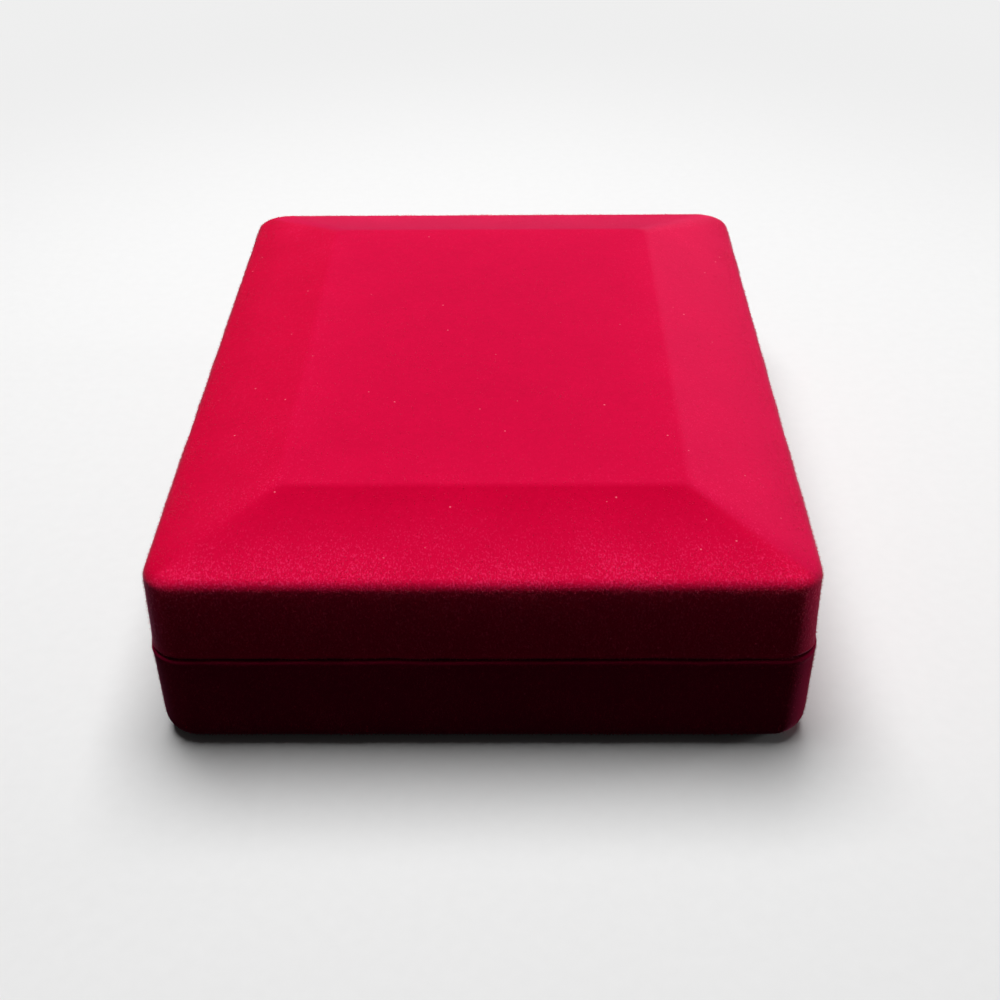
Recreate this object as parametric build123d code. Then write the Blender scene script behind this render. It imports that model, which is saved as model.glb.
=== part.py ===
from build123d import *

import math
import os

# All lengths are in millimetres and all angles in degrees.
# Origin: centre of the underside. +X is the right of the box, -Y its front, +Z is up.

# Outside of the closed box
box_width = 125.0
box_depth = 160.0
base_height = 21.2
parting_gap = 0.6
skirt_height = 17.0
roof_rise = 6.2
panel_inset = 22.9
corner_radius = 7.0
panel_corner_radius = 2.5
base_draft = 0.6
lid_draft = 1.5
bottom_round = 4.5
eave_round = 2.6
panel_round = 3.0

# Rolled lips on both sides of the seam
lip_proud = 0.25
lip_height = 1.2
lip_round = 0.2

# Walls
wall = 2.2
floor_thickness = 2.2

# Card linings covered in cloth
lining_gap = 0.35
lining_thickness = 1.4
lining_edge_round = 0.5
collar_rise = 3.0
collar_to_lining = 0.7

# Fits between pieces that don't move on each other
seat_gap = 0.1
slip_gap = 0.4
cloth_gap = 0.3

# Display insert in the base
insert_recess = 4.4
insert_board_thickness = 1.2
insert_cover_thickness = 1.0
insert_corner_radius = 4.0
insert_crown_width = 56.0
insert_crown_radius = 12.0

# Ring slot with its two padded rolls
ring_inset = 34.0
ring_roll_length = 30.0
ring_roll_thickness = 7.6
ring_roll_rise = 1.2
ring_roll_round = 3.2
ring_slot_gap = 0.8

# Slits for earrings, in two rows on both sides of the ring slot
earring_ring_gap = 3.0
earring_front_inset = 42.0
earring_row_spacing = 16.0
earring_slit_length = 7.0
earring_slit_width = 1.2
earring_slit_depth = 6.0

# Tabs that hold a chain, at the rear corners
tab_inset = 24.0
tab_length = 15.0
tab_width = 6.0
tab_thickness = 0.8
tab_leg_depth = 4.0
tab_angle = 45.0

# Ribbon that lifts the insert out
ribbon_width = 10.0
ribbon_thickness = 0.3
ribbon_reach = 16.0

# Pad inside the lid
pad_board_thickness = 1.2
pad_thickness = 5.4
pad_cover_thickness = 0.8
pad_corner_radius = 5.0
pad_crown_width = 40.0
pad_crown_radius = 12.0

# Hinges let into the back walls
hinge_inset = 27.5
hinge_length = 22.0
hinge_axis_proud = 0.4
end_knuckle_length = 4.0
mid_knuckle_length = 2.8
knuckle_gap = 0.1
knuckle_radius = 1.6
pin_radius = 0.75
pin_clearance = 0.05
pin_overhang = 0.3
leaf_thickness = 0.8
leaf_drop = 12.0
notch_clearance = 0.15
rivet_radius = 0.8
rivet_head_radius = 1.3
rivet_head_depth = 0.5
rivet_bite = 0.8
rivet_drop = 7.5
rivet_spacing = 14.0

# Torsion spring on each pin
spring_wire = 0.5
spring_mean_radius = 1.2
spring_pitch = 0.95
spring_leg = 1.0
spring_end_gap = 0.3

# One overrun for every cut that runs out of a face
overrun = 1.0

# Section of a padded form: share of the way in to its crown, and share of its height
cushion_shares = (
    (0.030, 0.00),
    (0.004, 0.30),
    (0.000, 0.55),
    (0.016, 0.74),
    (0.055, 0.87),
    (0.150, 0.94),
    (0.420, 0.985),
    (1.000, 1.00),
)

# Points per turn on which the spring's gap is measured
spring_samples = 24

# Levels and faces worked out from the sizes above
rim_level = base_height
lid_rim_level = base_height + parting_gap
hinge_level = base_height + parting_gap / 2
eave_level = lid_rim_level + skirt_height
top_level = eave_level + roof_rise
back_face = box_depth / 2
hinge_face = back_face + hinge_axis_proud
cavity_width = box_width - 2 * wall
cavity_depth = box_depth - 2 * wall
cavity_radius = corner_radius - wall
collar_level = rim_level + collar_rise
roof_slope = math.atan2(roof_rise, panel_inset)
skirt_shift = skirt_height * math.tan(math.radians(lid_draft))
base_shift = base_height * math.tan(math.radians(base_draft))


def rounded_face(width, depth, radius, level):
    """A rectangle with rounded corners, lying level."""
    return Plane.XY.offset(level) * RectangleRounded(width, depth, radius)


def rounded_block(width, depth, radius, low, high):
    """A straight block with rounded corners between two levels."""
    return extrude(rounded_face(width, depth, radius, low), high - low)


def block(x_low, x_high, y_low, y_high, z_low, z_high):
    """A plain block given by its six faces."""
    middle = ((x_low + x_high) / 2, (y_low + y_high) / 2, (z_low + z_high) / 2)
    return Pos(*middle) * Box(x_high - x_low, y_high - y_low, z_high - z_low)


def ring_block(width, depth, radius, thickness, low, high):
    """A rounded frame of one thickness, standing between two levels."""
    outside = rounded_block(width, depth, radius, low, high)
    inside = rounded_block(
        width - 2 * thickness,
        depth - 2 * thickness,
        radius - thickness,
        low - overrun,
        high + overrun,
    )
    return outside - inside


def padded_form(width, depth, radius, crown_width, crown_radius, low, high):
    """A crowned pad with drawn-in sides, its crown at the level called high."""
    reach = (width - crown_width) / 2
    sections = []
    for inset_share, height_share in cushion_shares:
        inset = inset_share * reach
        level = low + height_share * (high - low)
        section_radius = radius + inset_share * (crown_radius - radius)
        section = rounded_face(width - 2 * inset, depth - 2 * inset, section_radius, level)
        sections.append(section)
    return loft(sections, ruled=True)


def hinge_places():
    """Where the two hinges stand along the back."""
    reach = box_width / 2 - hinge_inset
    return {"left": -reach, "right": reach}


def hinge_notch(middle, low, high):
    """Room for a hinge's knuckles, webs and pin ends in a rim."""
    half = hinge_length / 2 + pin_overhang + notch_clearance
    inner = back_face - wall - overrun
    outer = hinge_face + knuckle_radius + overrun
    return block(middle - half, middle + half, inner, outer, low, high)


def leaf_recess(middle, low, high):
    """A shallow bed for a leaf in the inner face of a back wall."""
    half = hinge_length / 2 + notch_clearance
    inner = back_face - wall - overrun
    outer = back_face - wall + leaf_thickness
    return block(middle - half, middle + half, inner, outer, low, high)


def rivet_places(direction):
    """Where the rivets of all leaves on one side of the axis stand, as X and Z."""
    level = hinge_level + direction * rivet_drop
    places = []
    for middle in hinge_places().values():
        for side in (-1, 1):
            places.append((middle + side * rivet_spacing / 2, level))
    return places


def rivet(x, z):
    """One flush rivet, driven outwards from the inner face of a back wall."""
    start = back_face - wall
    length = leaf_thickness + rivet_bite
    along = Plane(origin=(x, start, z), z_dir=(0, 1, 0))
    shank = extrude(along * Circle(rivet_radius), length)
    head_end = along.offset(rivet_head_depth)
    head = loft([along * Circle(rivet_head_radius), head_end * Circle(rivet_radius)])
    return shank + head


def rivet_group(direction):
    """The rivets on one side of the axis, as separate solids."""
    return Compound([rivet(x, z) for x, z in rivet_places(direction)])


def cut_rivets(shape, direction):
    """The shape with the seats of one side's rivets taken out."""
    for x, z in rivet_places(direction):
        shape = shape - rivet(x, z)
    return shape


def lip(low, high):
    """The rolled lip that runs round one side of the seam."""
    bead = rounded_block(
        box_width + 2 * lip_proud,
        box_depth + 2 * lip_proud,
        corner_radius + lip_proud,
        low,
        high,
    )
    edges = bead.edges().filter_by_position(Axis.Z, low, low)
    edges += bead.edges().filter_by_position(Axis.Z, high, high)
    return fillet(edges, lip_round)


def make_base_shell():
    """The lower tub: drafted walls, rounded underside, rolled rim, beds for the hinges."""
    bottom = rounded_face(
        box_width - 2 * base_shift,
        box_depth - 2 * base_shift,
        corner_radius - base_shift,
        0,
    )
    rim = rounded_face(box_width, box_depth, corner_radius, rim_level)
    body = loft([bottom, rim], ruled=True)
    body = fillet(body.edges().filter_by_position(Axis.Z, 0, 0), bottom_round)
    body = body + lip(rim_level - lip_height, rim_level)
    body = body - rounded_block(
        cavity_width, cavity_depth, cavity_radius, floor_thickness, rim_level + overrun
    )
    for middle in hinge_places().values():
        notch_floor = hinge_level - knuckle_radius - notch_clearance
        bed_floor = hinge_level - leaf_drop - notch_clearance
        body = body - hinge_notch(middle, notch_floor, rim_level + overrun)
        body = body - leaf_recess(middle, bed_floor, rim_level + overrun)
    return cut_rivets(body, -1)


def make_lid_shell():
    """The upper shell: drafted skirt, hipped roof, flat panel, rolled rim, hinge beds."""
    eave_width = box_width - 2 * skirt_shift
    eave_depth = box_depth - 2 * skirt_shift
    rim = rounded_face(box_width, box_depth, corner_radius, lid_rim_level)
    eave = rounded_face(eave_width, eave_depth, corner_radius - skirt_shift, eave_level)
    panel = rounded_face(
        eave_width - 2 * panel_inset,
        eave_depth - 2 * panel_inset,
        panel_corner_radius,
        top_level,
    )
    body = loft([rim, eave, panel], ruled=True)
    body = fillet(body.edges().filter_by_position(Axis.Z, top_level, top_level), panel_round)
    body = fillet(body.edges().filter_by_position(Axis.Z, eave_level, eave_level), eave_round)
    body = body + lip(lid_rim_level, lid_rim_level + lip_height)
    body = body - lid_cavity()
    for middle in hinge_places().values():
        notch_roof = hinge_level + knuckle_radius + notch_clearance
        bed_roof = hinge_level + leaf_drop + notch_clearance
        body = body - hinge_notch(middle, lid_rim_level - overrun, notch_roof)
        body = body - leaf_recess(middle, lid_rim_level - overrun, bed_roof)
    return cut_rivets(body, 1)


def inner_eave_level():
    """Where the straight inside of the lid meets the underside of its roof."""
    inset = wall - skirt_shift
    return eave_level - wall / math.cos(roof_slope) + inset * math.tan(roof_slope)


def lid_cavity():
    """The hollow of the lid: straight walls, then the underside of the roof."""
    inner_panel_inset = panel_inset + wall * math.tan(roof_slope / 2)
    shrink = 2 * (skirt_shift + inner_panel_inset)
    spring_line = rounded_face(cavity_width, cavity_depth, cavity_radius, inner_eave_level())
    roof = rounded_face(
        box_width - shrink, box_depth - shrink, panel_corner_radius, top_level - wall
    )
    walls = rounded_block(
        cavity_width, cavity_depth, cavity_radius, lid_rim_level - overrun, inner_eave_level()
    )
    return walls + loft([spring_line, roof], ruled=True)


lining_width = cavity_width - 2 * lining_gap
lining_depth = cavity_depth - 2 * lining_gap
lining_radius = cavity_radius - lining_gap
lining_back = lining_depth / 2


def make_base_lining():
    """The collar: a card strip in cloth that stands in the tub and rises into the lid."""
    low = floor_thickness
    strip = ring_block(
        lining_width, lining_depth, lining_radius, lining_thickness, low, collar_level
    )
    top_edges = strip.edges().filter_by_position(Axis.Z, collar_level, collar_level)
    return fillet(top_edges, lining_edge_round)


def lining_low():
    """The level at which the lid's lining starts, clear of the collar."""
    return collar_level + collar_to_lining


def pad_board_low():
    """The underside of the board that carries the lid's pad."""
    return inner_eave_level() - seat_gap - pad_board_thickness


def make_lid_lining():
    """The card strip in cloth round the inside of the lid, up to the pad's board."""
    low = lining_low()
    high = pad_board_low()
    strip = ring_block(
        lining_width, lining_depth, lining_radius, lining_thickness, low, high
    )
    low_edges = strip.edges().filter_by_position(Axis.Z, low, low)
    return fillet(low_edges, lining_edge_round)


pad_board_width = cavity_width - 2 * seat_gap
pad_board_depth = cavity_depth - 2 * seat_gap
pad_width = lining_width - 2 * (lining_thickness + cloth_gap)
pad_depth = lining_depth - 2 * (lining_thickness + cloth_gap)


def make_lid_pad_board():
    """The card above the lid's pad, seated on the top of the lining."""
    low = pad_board_low()
    high = low + pad_board_thickness
    return rounded_block(pad_board_width, pad_board_depth, cavity_radius - seat_gap, low, high)


def lid_pad_form(shrink):
    """The crowned pad under the lid's board, drawn in all round by the given amount."""
    height = pad_thickness - shrink
    upright = padded_form(
        pad_width - 2 * shrink,
        pad_depth - 2 * shrink,
        pad_corner_radius - shrink,
        pad_crown_width - 2 * shrink,
        pad_crown_radius,
        0,
        height,
    )
    turned = Rot(180, 0, 0) * upright
    return Pos(0, 0, pad_board_low()) * turned


def make_lid_pad_wadding():
    """The soft filling of the lid's pad."""
    return lid_pad_form(pad_cover_thickness)


def make_lid_pad_cover():
    """The satin cover of the lid's pad, open towards its board."""
    return lid_pad_form(0) - lid_pad_form(pad_cover_thickness)


insert_width = lining_width - 2 * (lining_thickness + slip_gap)
insert_depth = lining_depth - 2 * (lining_thickness + slip_gap)
insert_crown_reach = (insert_width - insert_crown_width) / 2
insert_foot_share = cushion_shares[0][0]
insert_foot_inset = insert_foot_share * insert_crown_reach
insert_board_top = floor_thickness + insert_board_thickness
insert_top = rim_level - insert_recess
ring_middle = -insert_depth / 2 + ring_inset


def insert_foot_radius(shrink):
    """The corner radius at the insert's foot, drawn in by the given amount."""
    radius = insert_corner_radius - shrink
    return radius + insert_foot_share * (insert_crown_radius - radius)


def make_insert_board():
    """The card floor of the display insert, inside the foot of its cover."""
    inset = insert_foot_inset + insert_cover_thickness
    return rounded_block(
        insert_width - 2 * inset,
        insert_depth - 2 * inset,
        insert_foot_radius(insert_cover_thickness),
        floor_thickness,
        insert_board_top,
    )


def insert_form(shrink):
    """The crowned block of the insert, drawn in all round by the given amount."""
    return padded_form(
        insert_width - 2 * shrink,
        insert_depth - 2 * shrink,
        insert_corner_radius - shrink,
        insert_crown_width - 2 * shrink,
        insert_crown_radius,
        insert_board_top,
        insert_top - shrink,
    )


def ring_pocket():
    """The pocket in the insert that holds the two ring rolls."""
    half_length = ring_roll_length / 2 + cloth_gap
    half_depth = ring_roll_thickness + ring_slot_gap / 2 + cloth_gap
    return block(
        -half_length,
        half_length,
        ring_middle - half_depth,
        ring_middle + half_depth,
        insert_board_top,
        insert_top + overrun,
    )


def earring_slits():
    """Two pairs of slits that take the posts and hooks of earrings."""
    slits = []
    low = insert_top - earring_slit_depth
    for side in (-1, 1):
        for row in (0, 1):
            x = side * (ring_roll_length / 2 + earring_ring_gap + earring_slit_length / 2)
            y = -insert_depth / 2 + earring_front_inset + row * earring_row_spacing
            slits.append(
                block(
                    x - earring_slit_length / 2,
                    x + earring_slit_length / 2,
                    y - earring_slit_width / 2,
                    y + earring_slit_width / 2,
                    low,
                    insert_top + overrun,
                )
            )
    return slits


def tab_frame(side):
    """The turned place of one chain tab, near a rear corner of the insert."""
    x = side * (insert_width / 2 - tab_inset)
    y = insert_depth / 2 - tab_inset
    return Pos(x, y, 0) * Rot(0, 0, side * tab_angle)


def tab_legs(side, allowance, high):
    """The two legs of a chain tab, or with an allowance the slits that they go into."""
    legs = []
    for end in (-1, 1):
        outer = tab_length / 2 + allowance
        inner = tab_length / 2 - tab_thickness - allowance
        leg = block(
            min(end * outer, end * inner),
            max(end * outer, end * inner),
            -tab_width / 2 - allowance,
            tab_width / 2 + allowance,
            insert_top - tab_leg_depth - allowance,
            high,
        )
        legs.append(tab_frame(side) * leg)
    return legs


def make_necklace_tab(side):
    """A fabric tab over the insert whose ends go down into two slits."""
    strap_low = insert_top + seat_gap
    strap_high = strap_low + tab_thickness
    half = tab_length / 2
    strap = block(-half, half, -tab_width / 2, tab_width / 2, strap_low, strap_high)
    tab = tab_frame(side) * strap
    for leg in tab_legs(side, 0, strap_high):
        tab = tab + leg
    return tab


def cut_insert(shape):
    """The shape with the ring pocket, the earring slits and the tab slits taken out."""
    shape = shape - ring_pocket()
    for slit in earring_slits():
        shape = shape - slit
    for side in (-1, 1):
        for slit in tab_legs(side, seat_gap, insert_top + overrun):
            shape = shape - slit
    return shape


def make_insert_foam():
    """The foam block of the insert."""
    return cut_insert(insert_form(insert_cover_thickness))


def make_insert_cover():
    """The velvet cover of the insert, down to the floor round its board and foam."""
    skirt = ring_block(
        insert_width - 2 * insert_foot_inset,
        insert_depth - 2 * insert_foot_inset,
        insert_foot_radius(0),
        insert_cover_thickness,
        floor_thickness,
        insert_board_top,
    )
    skin = insert_form(0) - insert_form(insert_cover_thickness)
    return cut_insert(skin) + skirt


def make_ring_roll(side):
    """One padded roll of the ring slot, with rounded ends and top."""
    inner = ring_slot_gap / 2
    outer = inner + ring_roll_thickness
    high = insert_top + ring_roll_rise
    roll = block(
        -ring_roll_length / 2,
        ring_roll_length / 2,
        ring_middle + min(side * inner, side * outer),
        ring_middle + max(side * inner, side * outer),
        insert_board_top,
        high,
    )
    roll = fillet(roll.edges().filter_by(Axis.Z), ring_roll_round / 2)
    return fillet(roll.edges().filter_by_position(Axis.Z, high, high), ring_roll_round)


def make_lift_ribbon():
    """The satin ribbon that runs up the front of the insert and over its top."""
    front = -insert_depth / 2
    rise = insert_top - insert_board_top
    line = [(front + insert_foot_inset, floor_thickness)]
    for inset_share, height_share in cushion_shares[:-2]:
        inset = inset_share * insert_crown_reach
        line.append((front + inset, insert_board_top + height_share * rise))
    line.append((front + ribbon_reach, insert_top))
    near = seat_gap
    far = seat_gap + ribbon_thickness
    inside = [(y - near, z + near) for y, z in line]
    outside = [(y - far, z + far) for y, z in line]
    outline = Polyline(*inside, *reversed(outside), close=True)
    section = Plane.YZ * make_face(outline)
    return extrude(section, ribbon_width / 2, both=True)


def hinge_frame(middle):
    """The place of one hinge: its axis along X at the seam."""
    return Pos(middle, hinge_face, hinge_level)


def bar(radius, x_low, x_high):
    """A round bar along X."""
    return extrude(Plane.YZ.offset(x_low) * Circle(radius), x_high - x_low)


def leaf(direction, spans, bore_radius):
    """A leaf with its webs and knuckles; direction is -1 for the base and 1 for the lid."""
    plate_outer = -hinge_axis_proud - wall + leaf_thickness
    plate_inner = plate_outer - leaf_thickness
    web_near = direction * (knuckle_radius - leaf_thickness)
    web_far = direction * knuckle_radius
    plate_end = direction * leaf_drop
    plate = block(
        -hinge_length / 2,
        hinge_length / 2,
        plate_inner,
        plate_outer,
        min(web_near, plate_end),
        max(web_near, plate_end),
    )
    for x_low, x_high in spans:
        web = block(x_low, x_high, plate_inner, 0, min(web_near, web_far), max(web_near, web_far))
        plate = plate + web + bar(knuckle_radius, x_low, x_high)
    return plate - bar(bore_radius, -hinge_length, hinge_length)


def base_spans():
    """The stretches of the axis that the base leaf's knuckles take."""
    end = hinge_length / 2
    return [(-end, end_knuckle_length - end), (end - end_knuckle_length, end)]


def lid_spans():
    """The stretches of the axis that the lid leaf's knuckles take."""
    outer = hinge_length / 2 - end_knuckle_length - knuckle_gap
    inner = outer - mid_knuckle_length
    return [(-outer, -inner), (inner, outer)]


def make_hinge_base_leaf(middle):
    """A base leaf, with the seats of its rivets."""
    return cut_rivets(hinge_frame(middle) * leaf(-1, base_spans(), pin_radius), -1)


def make_hinge_lid_leaf(middle):
    """A lid leaf, free to turn on the pin, with the seats of its rivets."""
    turning_bore = pin_radius + pin_clearance
    return cut_rivets(hinge_frame(middle) * leaf(1, lid_spans(), turning_bore), 1)


def make_hinge_pin(middle):
    """A hinge pin, held in the base leaf's knuckles."""
    end = hinge_length / 2 + pin_overhang
    return hinge_frame(middle) * bar(pin_radius, -end, end)


def spring_turns():
    """How many whole turns of the spring fit between the lid leaf's knuckles."""
    room = 2 * lid_spans()[1][0] - spring_wire - 2 * spring_end_gap
    return math.floor(room / spring_pitch)


def spring_point(angle):
    """The centre of the spring's wire after turning through an angle, in radians."""
    advance = spring_pitch * (angle / (2 * math.pi) - spring_turns() / 2)
    y = -spring_mean_radius * math.cos(angle)
    z = spring_mean_radius * math.sin(angle)
    return Vector(advance, y, z)


def spring_direction(angle):
    """The direction of the spring's wire after turning through an angle, in radians."""
    x = spring_pitch / (2 * math.pi)
    y = spring_mean_radius * math.sin(angle)
    z = spring_mean_radius * math.cos(angle)
    return Vector(x, y, z).normalized()


def biarc(start, start_direction, end, end_direction):
    """Two arcs that join two points smoothly, each leaving along its own direction."""
    chord = end - start
    both = start_direction + end_direction
    spread = 2 * (1 - start_direction.dot(end_direction))
    along = chord.dot(both)
    reach = (math.sqrt(along * along + spread * chord.dot(chord)) - along) / spread
    near = start + start_direction * reach
    far = end - end_direction * reach
    middle = (near + far) * (1 / 2)
    first = TangentArc(start, middle, tangent=start_direction)
    second = TangentArc(middle, end, tangent=(far - near).normalized())
    return [first, second]


def spring_path():
    """The spring's centre line: a straight leg, the turns as half-turn biarcs, and a leg."""
    first = spring_point(0)
    last_angle = 2 * math.pi * spring_turns()
    last = spring_point(last_angle)
    runs = [Line(first - spring_direction(0) * spring_leg, first)]
    for half_turn in range(2 * spring_turns()):
        start = half_turn * math.pi
        end = start + math.pi
        runs += biarc(
            spring_point(start), spring_direction(start), spring_point(end), spring_direction(end)
        )
    runs.append(Line(last, last + spring_direction(last_angle) * spring_leg))
    return Wire([edge for run in runs for edge in run.edges()])


def make_hinge_spring(middle):
    """A torsion spring on the pin, one unbroken wire with a leg towards each leaf."""
    path = spring_path()
    start = spring_point(0) - spring_direction(0) * spring_leg
    section = Plane(origin=start, z_dir=spring_direction(0)) * Circle(spring_wire / 2)
    return hinge_frame(middle) * sweep(section, path=path)


def spring_least_gap():
    """The least gap of the spring's wire to its own next turn, measured on points."""
    least = math.inf
    step = 2 * math.pi / spring_samples
    samples = [spring_point(step * index) for index in range(spring_samples * spring_turns())]
    for index, point in enumerate(samples):
        for other in samples[index + spring_samples // 2:]:
            least = min(least, (point - other).length)
    return least - spring_wire


def save(shape, name):
    """Write one node."""
    export_step(shape, "parts/" + name + ".step")


def main():
    """Make every node of the box."""
    os.makedirs("parts", exist_ok=True)
    save(make_base_shell(), "base_shell")
    save(make_base_lining(), "base_lining")
    save(make_insert_board(), "insert_board")
    save(make_insert_foam(), "insert_foam")
    save(make_insert_cover(), "insert_cover")
    save(make_ring_roll(-1), "ring_roll_front")
    save(make_ring_roll(1), "ring_roll_rear")
    save(make_lift_ribbon(), "lift_ribbon")
    save(make_lid_shell(), "lid_shell")
    save(make_lid_lining(), "lid_lining")
    save(make_lid_pad_board(), "lid_pad_board")
    save(make_lid_pad_wadding(), "lid_pad_wadding")
    save(make_lid_pad_cover(), "lid_pad_cover")
    save(rivet_group(-1), "hinge_rivets_base")
    save(rivet_group(1), "hinge_rivets_lid")
    for side, middle in hinge_places().items():
        save(make_necklace_tab(math.copysign(1, middle)), "necklace_tab_" + side)
        save(make_hinge_base_leaf(middle), "hinge_base_leaf_" + side)
        save(make_hinge_lid_leaf(middle), "hinge_lid_leaf_" + side)
        save(make_hinge_pin(middle), "hinge_pin_" + side)
        save(make_hinge_spring(middle), "hinge_spring_" + side)
    print("least gap between the spring's turns:", round(spring_least_gap(), 3))


main()
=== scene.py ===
"""Looks of a flocked jewelry presentation box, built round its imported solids.

The box is a moulded tub and a hinged lid with a hipped roof, both flocked in crimson. Inside are a
card collar in velvet, a padded display insert with a ring slot, and a puffed satin pad in the lid.
Sizes in this file are in millimetres until a mesh is written, which is in metres.
"""
import logging
import math
from dataclasses import dataclass, field, replace
from enum import Enum
from typing import Any, Callable, Sequence

import bmesh
import bpy
import numpy as np
from mathutils import Matrix, Vector


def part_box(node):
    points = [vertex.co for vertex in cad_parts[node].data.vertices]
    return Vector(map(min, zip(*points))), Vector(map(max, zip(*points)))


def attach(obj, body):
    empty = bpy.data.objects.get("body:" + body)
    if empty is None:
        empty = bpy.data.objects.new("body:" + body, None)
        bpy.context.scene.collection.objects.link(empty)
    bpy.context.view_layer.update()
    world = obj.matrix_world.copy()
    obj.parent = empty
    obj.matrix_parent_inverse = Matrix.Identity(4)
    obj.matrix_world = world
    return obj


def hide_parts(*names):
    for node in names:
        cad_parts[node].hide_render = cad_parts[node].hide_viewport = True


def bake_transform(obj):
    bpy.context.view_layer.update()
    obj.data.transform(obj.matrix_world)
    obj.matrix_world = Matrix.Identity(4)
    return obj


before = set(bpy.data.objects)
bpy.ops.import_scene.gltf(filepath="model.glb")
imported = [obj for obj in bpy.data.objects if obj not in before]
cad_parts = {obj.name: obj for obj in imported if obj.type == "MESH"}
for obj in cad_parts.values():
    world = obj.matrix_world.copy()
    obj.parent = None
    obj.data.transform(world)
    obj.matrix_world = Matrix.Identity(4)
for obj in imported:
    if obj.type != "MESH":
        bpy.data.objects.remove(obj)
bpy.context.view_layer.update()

MM = 0.001
SEED = 20
WAVES = 7
WAVE_LENGTHS = (0.6, 1.7)
CREASE = 40.0  # the angle in degrees past which an edge stays sharp
TINY = 1e-12
SIDES = ("left", "right")
LOG = logging.getLogger("presentation_box")

Pair = tuple[float, float]
Triple = tuple[float, float, float]
Outline = list[Pair]
Array = np.ndarray
Piece = bpy.types.Object
Material = bpy.types.Material


class Body(Enum):
    """The two bodies that the hinge joins."""

    BASE = "base"
    LID = "lid"


class Slot(Enum):
    """The material slots of the record, passed along with new pieces."""

    CRIMSON_VELVET = "crimson_velvet"
    LINING_VELVET = "lining_velvet"
    LINING_SATIN = "lining_satin"
    INSERT_VELVET = "insert_velvet"
    SATIN = "satin"
    HINGE_STEEL = "hinge_steel"


def operator(operation: str, flipped: bool = False) -> Callable[["Wire", Any], "Wire"]:
    """Makes a method of a wire that adds one Math node.

    Args:
        operation: The Math node's operation.
        flipped: Whether the wire is its second operand.

    Returns:
        The method.
    """
    def method(wire: "Wire", other: Any) -> "Wire":
        """The result of a Math node on the wire and another wire or number."""
        values = {int(flipped): wire, int(not flipped): other}
        return wire.graph.node("ShaderNodeMath", {"operation": operation}, values)

    return method


class Wire:
    """A socket in a node tree. Arithmetic on wires adds Math nodes."""

    __add__, __radd__ = operator("ADD"), operator("ADD", flipped=True)
    __sub__, __rsub__ = operator("SUBTRACT"), operator("SUBTRACT", flipped=True)
    __mul__, __rmul__ = operator("MULTIPLY"), operator("MULTIPLY", flipped=True)
    __pow__, above = operator("POWER"), operator("GREATER_THAN")
    at_least, at_most = operator("MAXIMUM"), operator("MINIMUM")

    def __init__(self, graph: "Graph", socket: bpy.types.NodeSocket) -> None:
        """Wraps one output socket of a graph."""
        self.graph = graph
        self.socket = socket

    def clamped(self) -> "Wire":
        """The wire held between zero and one."""
        return self.at_least(0.0).at_most(1.0)

    def ramp(self, low: float, high: float) -> "Wire":
        """A smooth rise from zero at low to one at high."""
        values = {"Value": self, "From Min": low, "From Max": high}
        return self.graph.node("ShaderNodeMapRange", {"interpolation_type": "SMOOTHSTEP"}, values)


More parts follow.
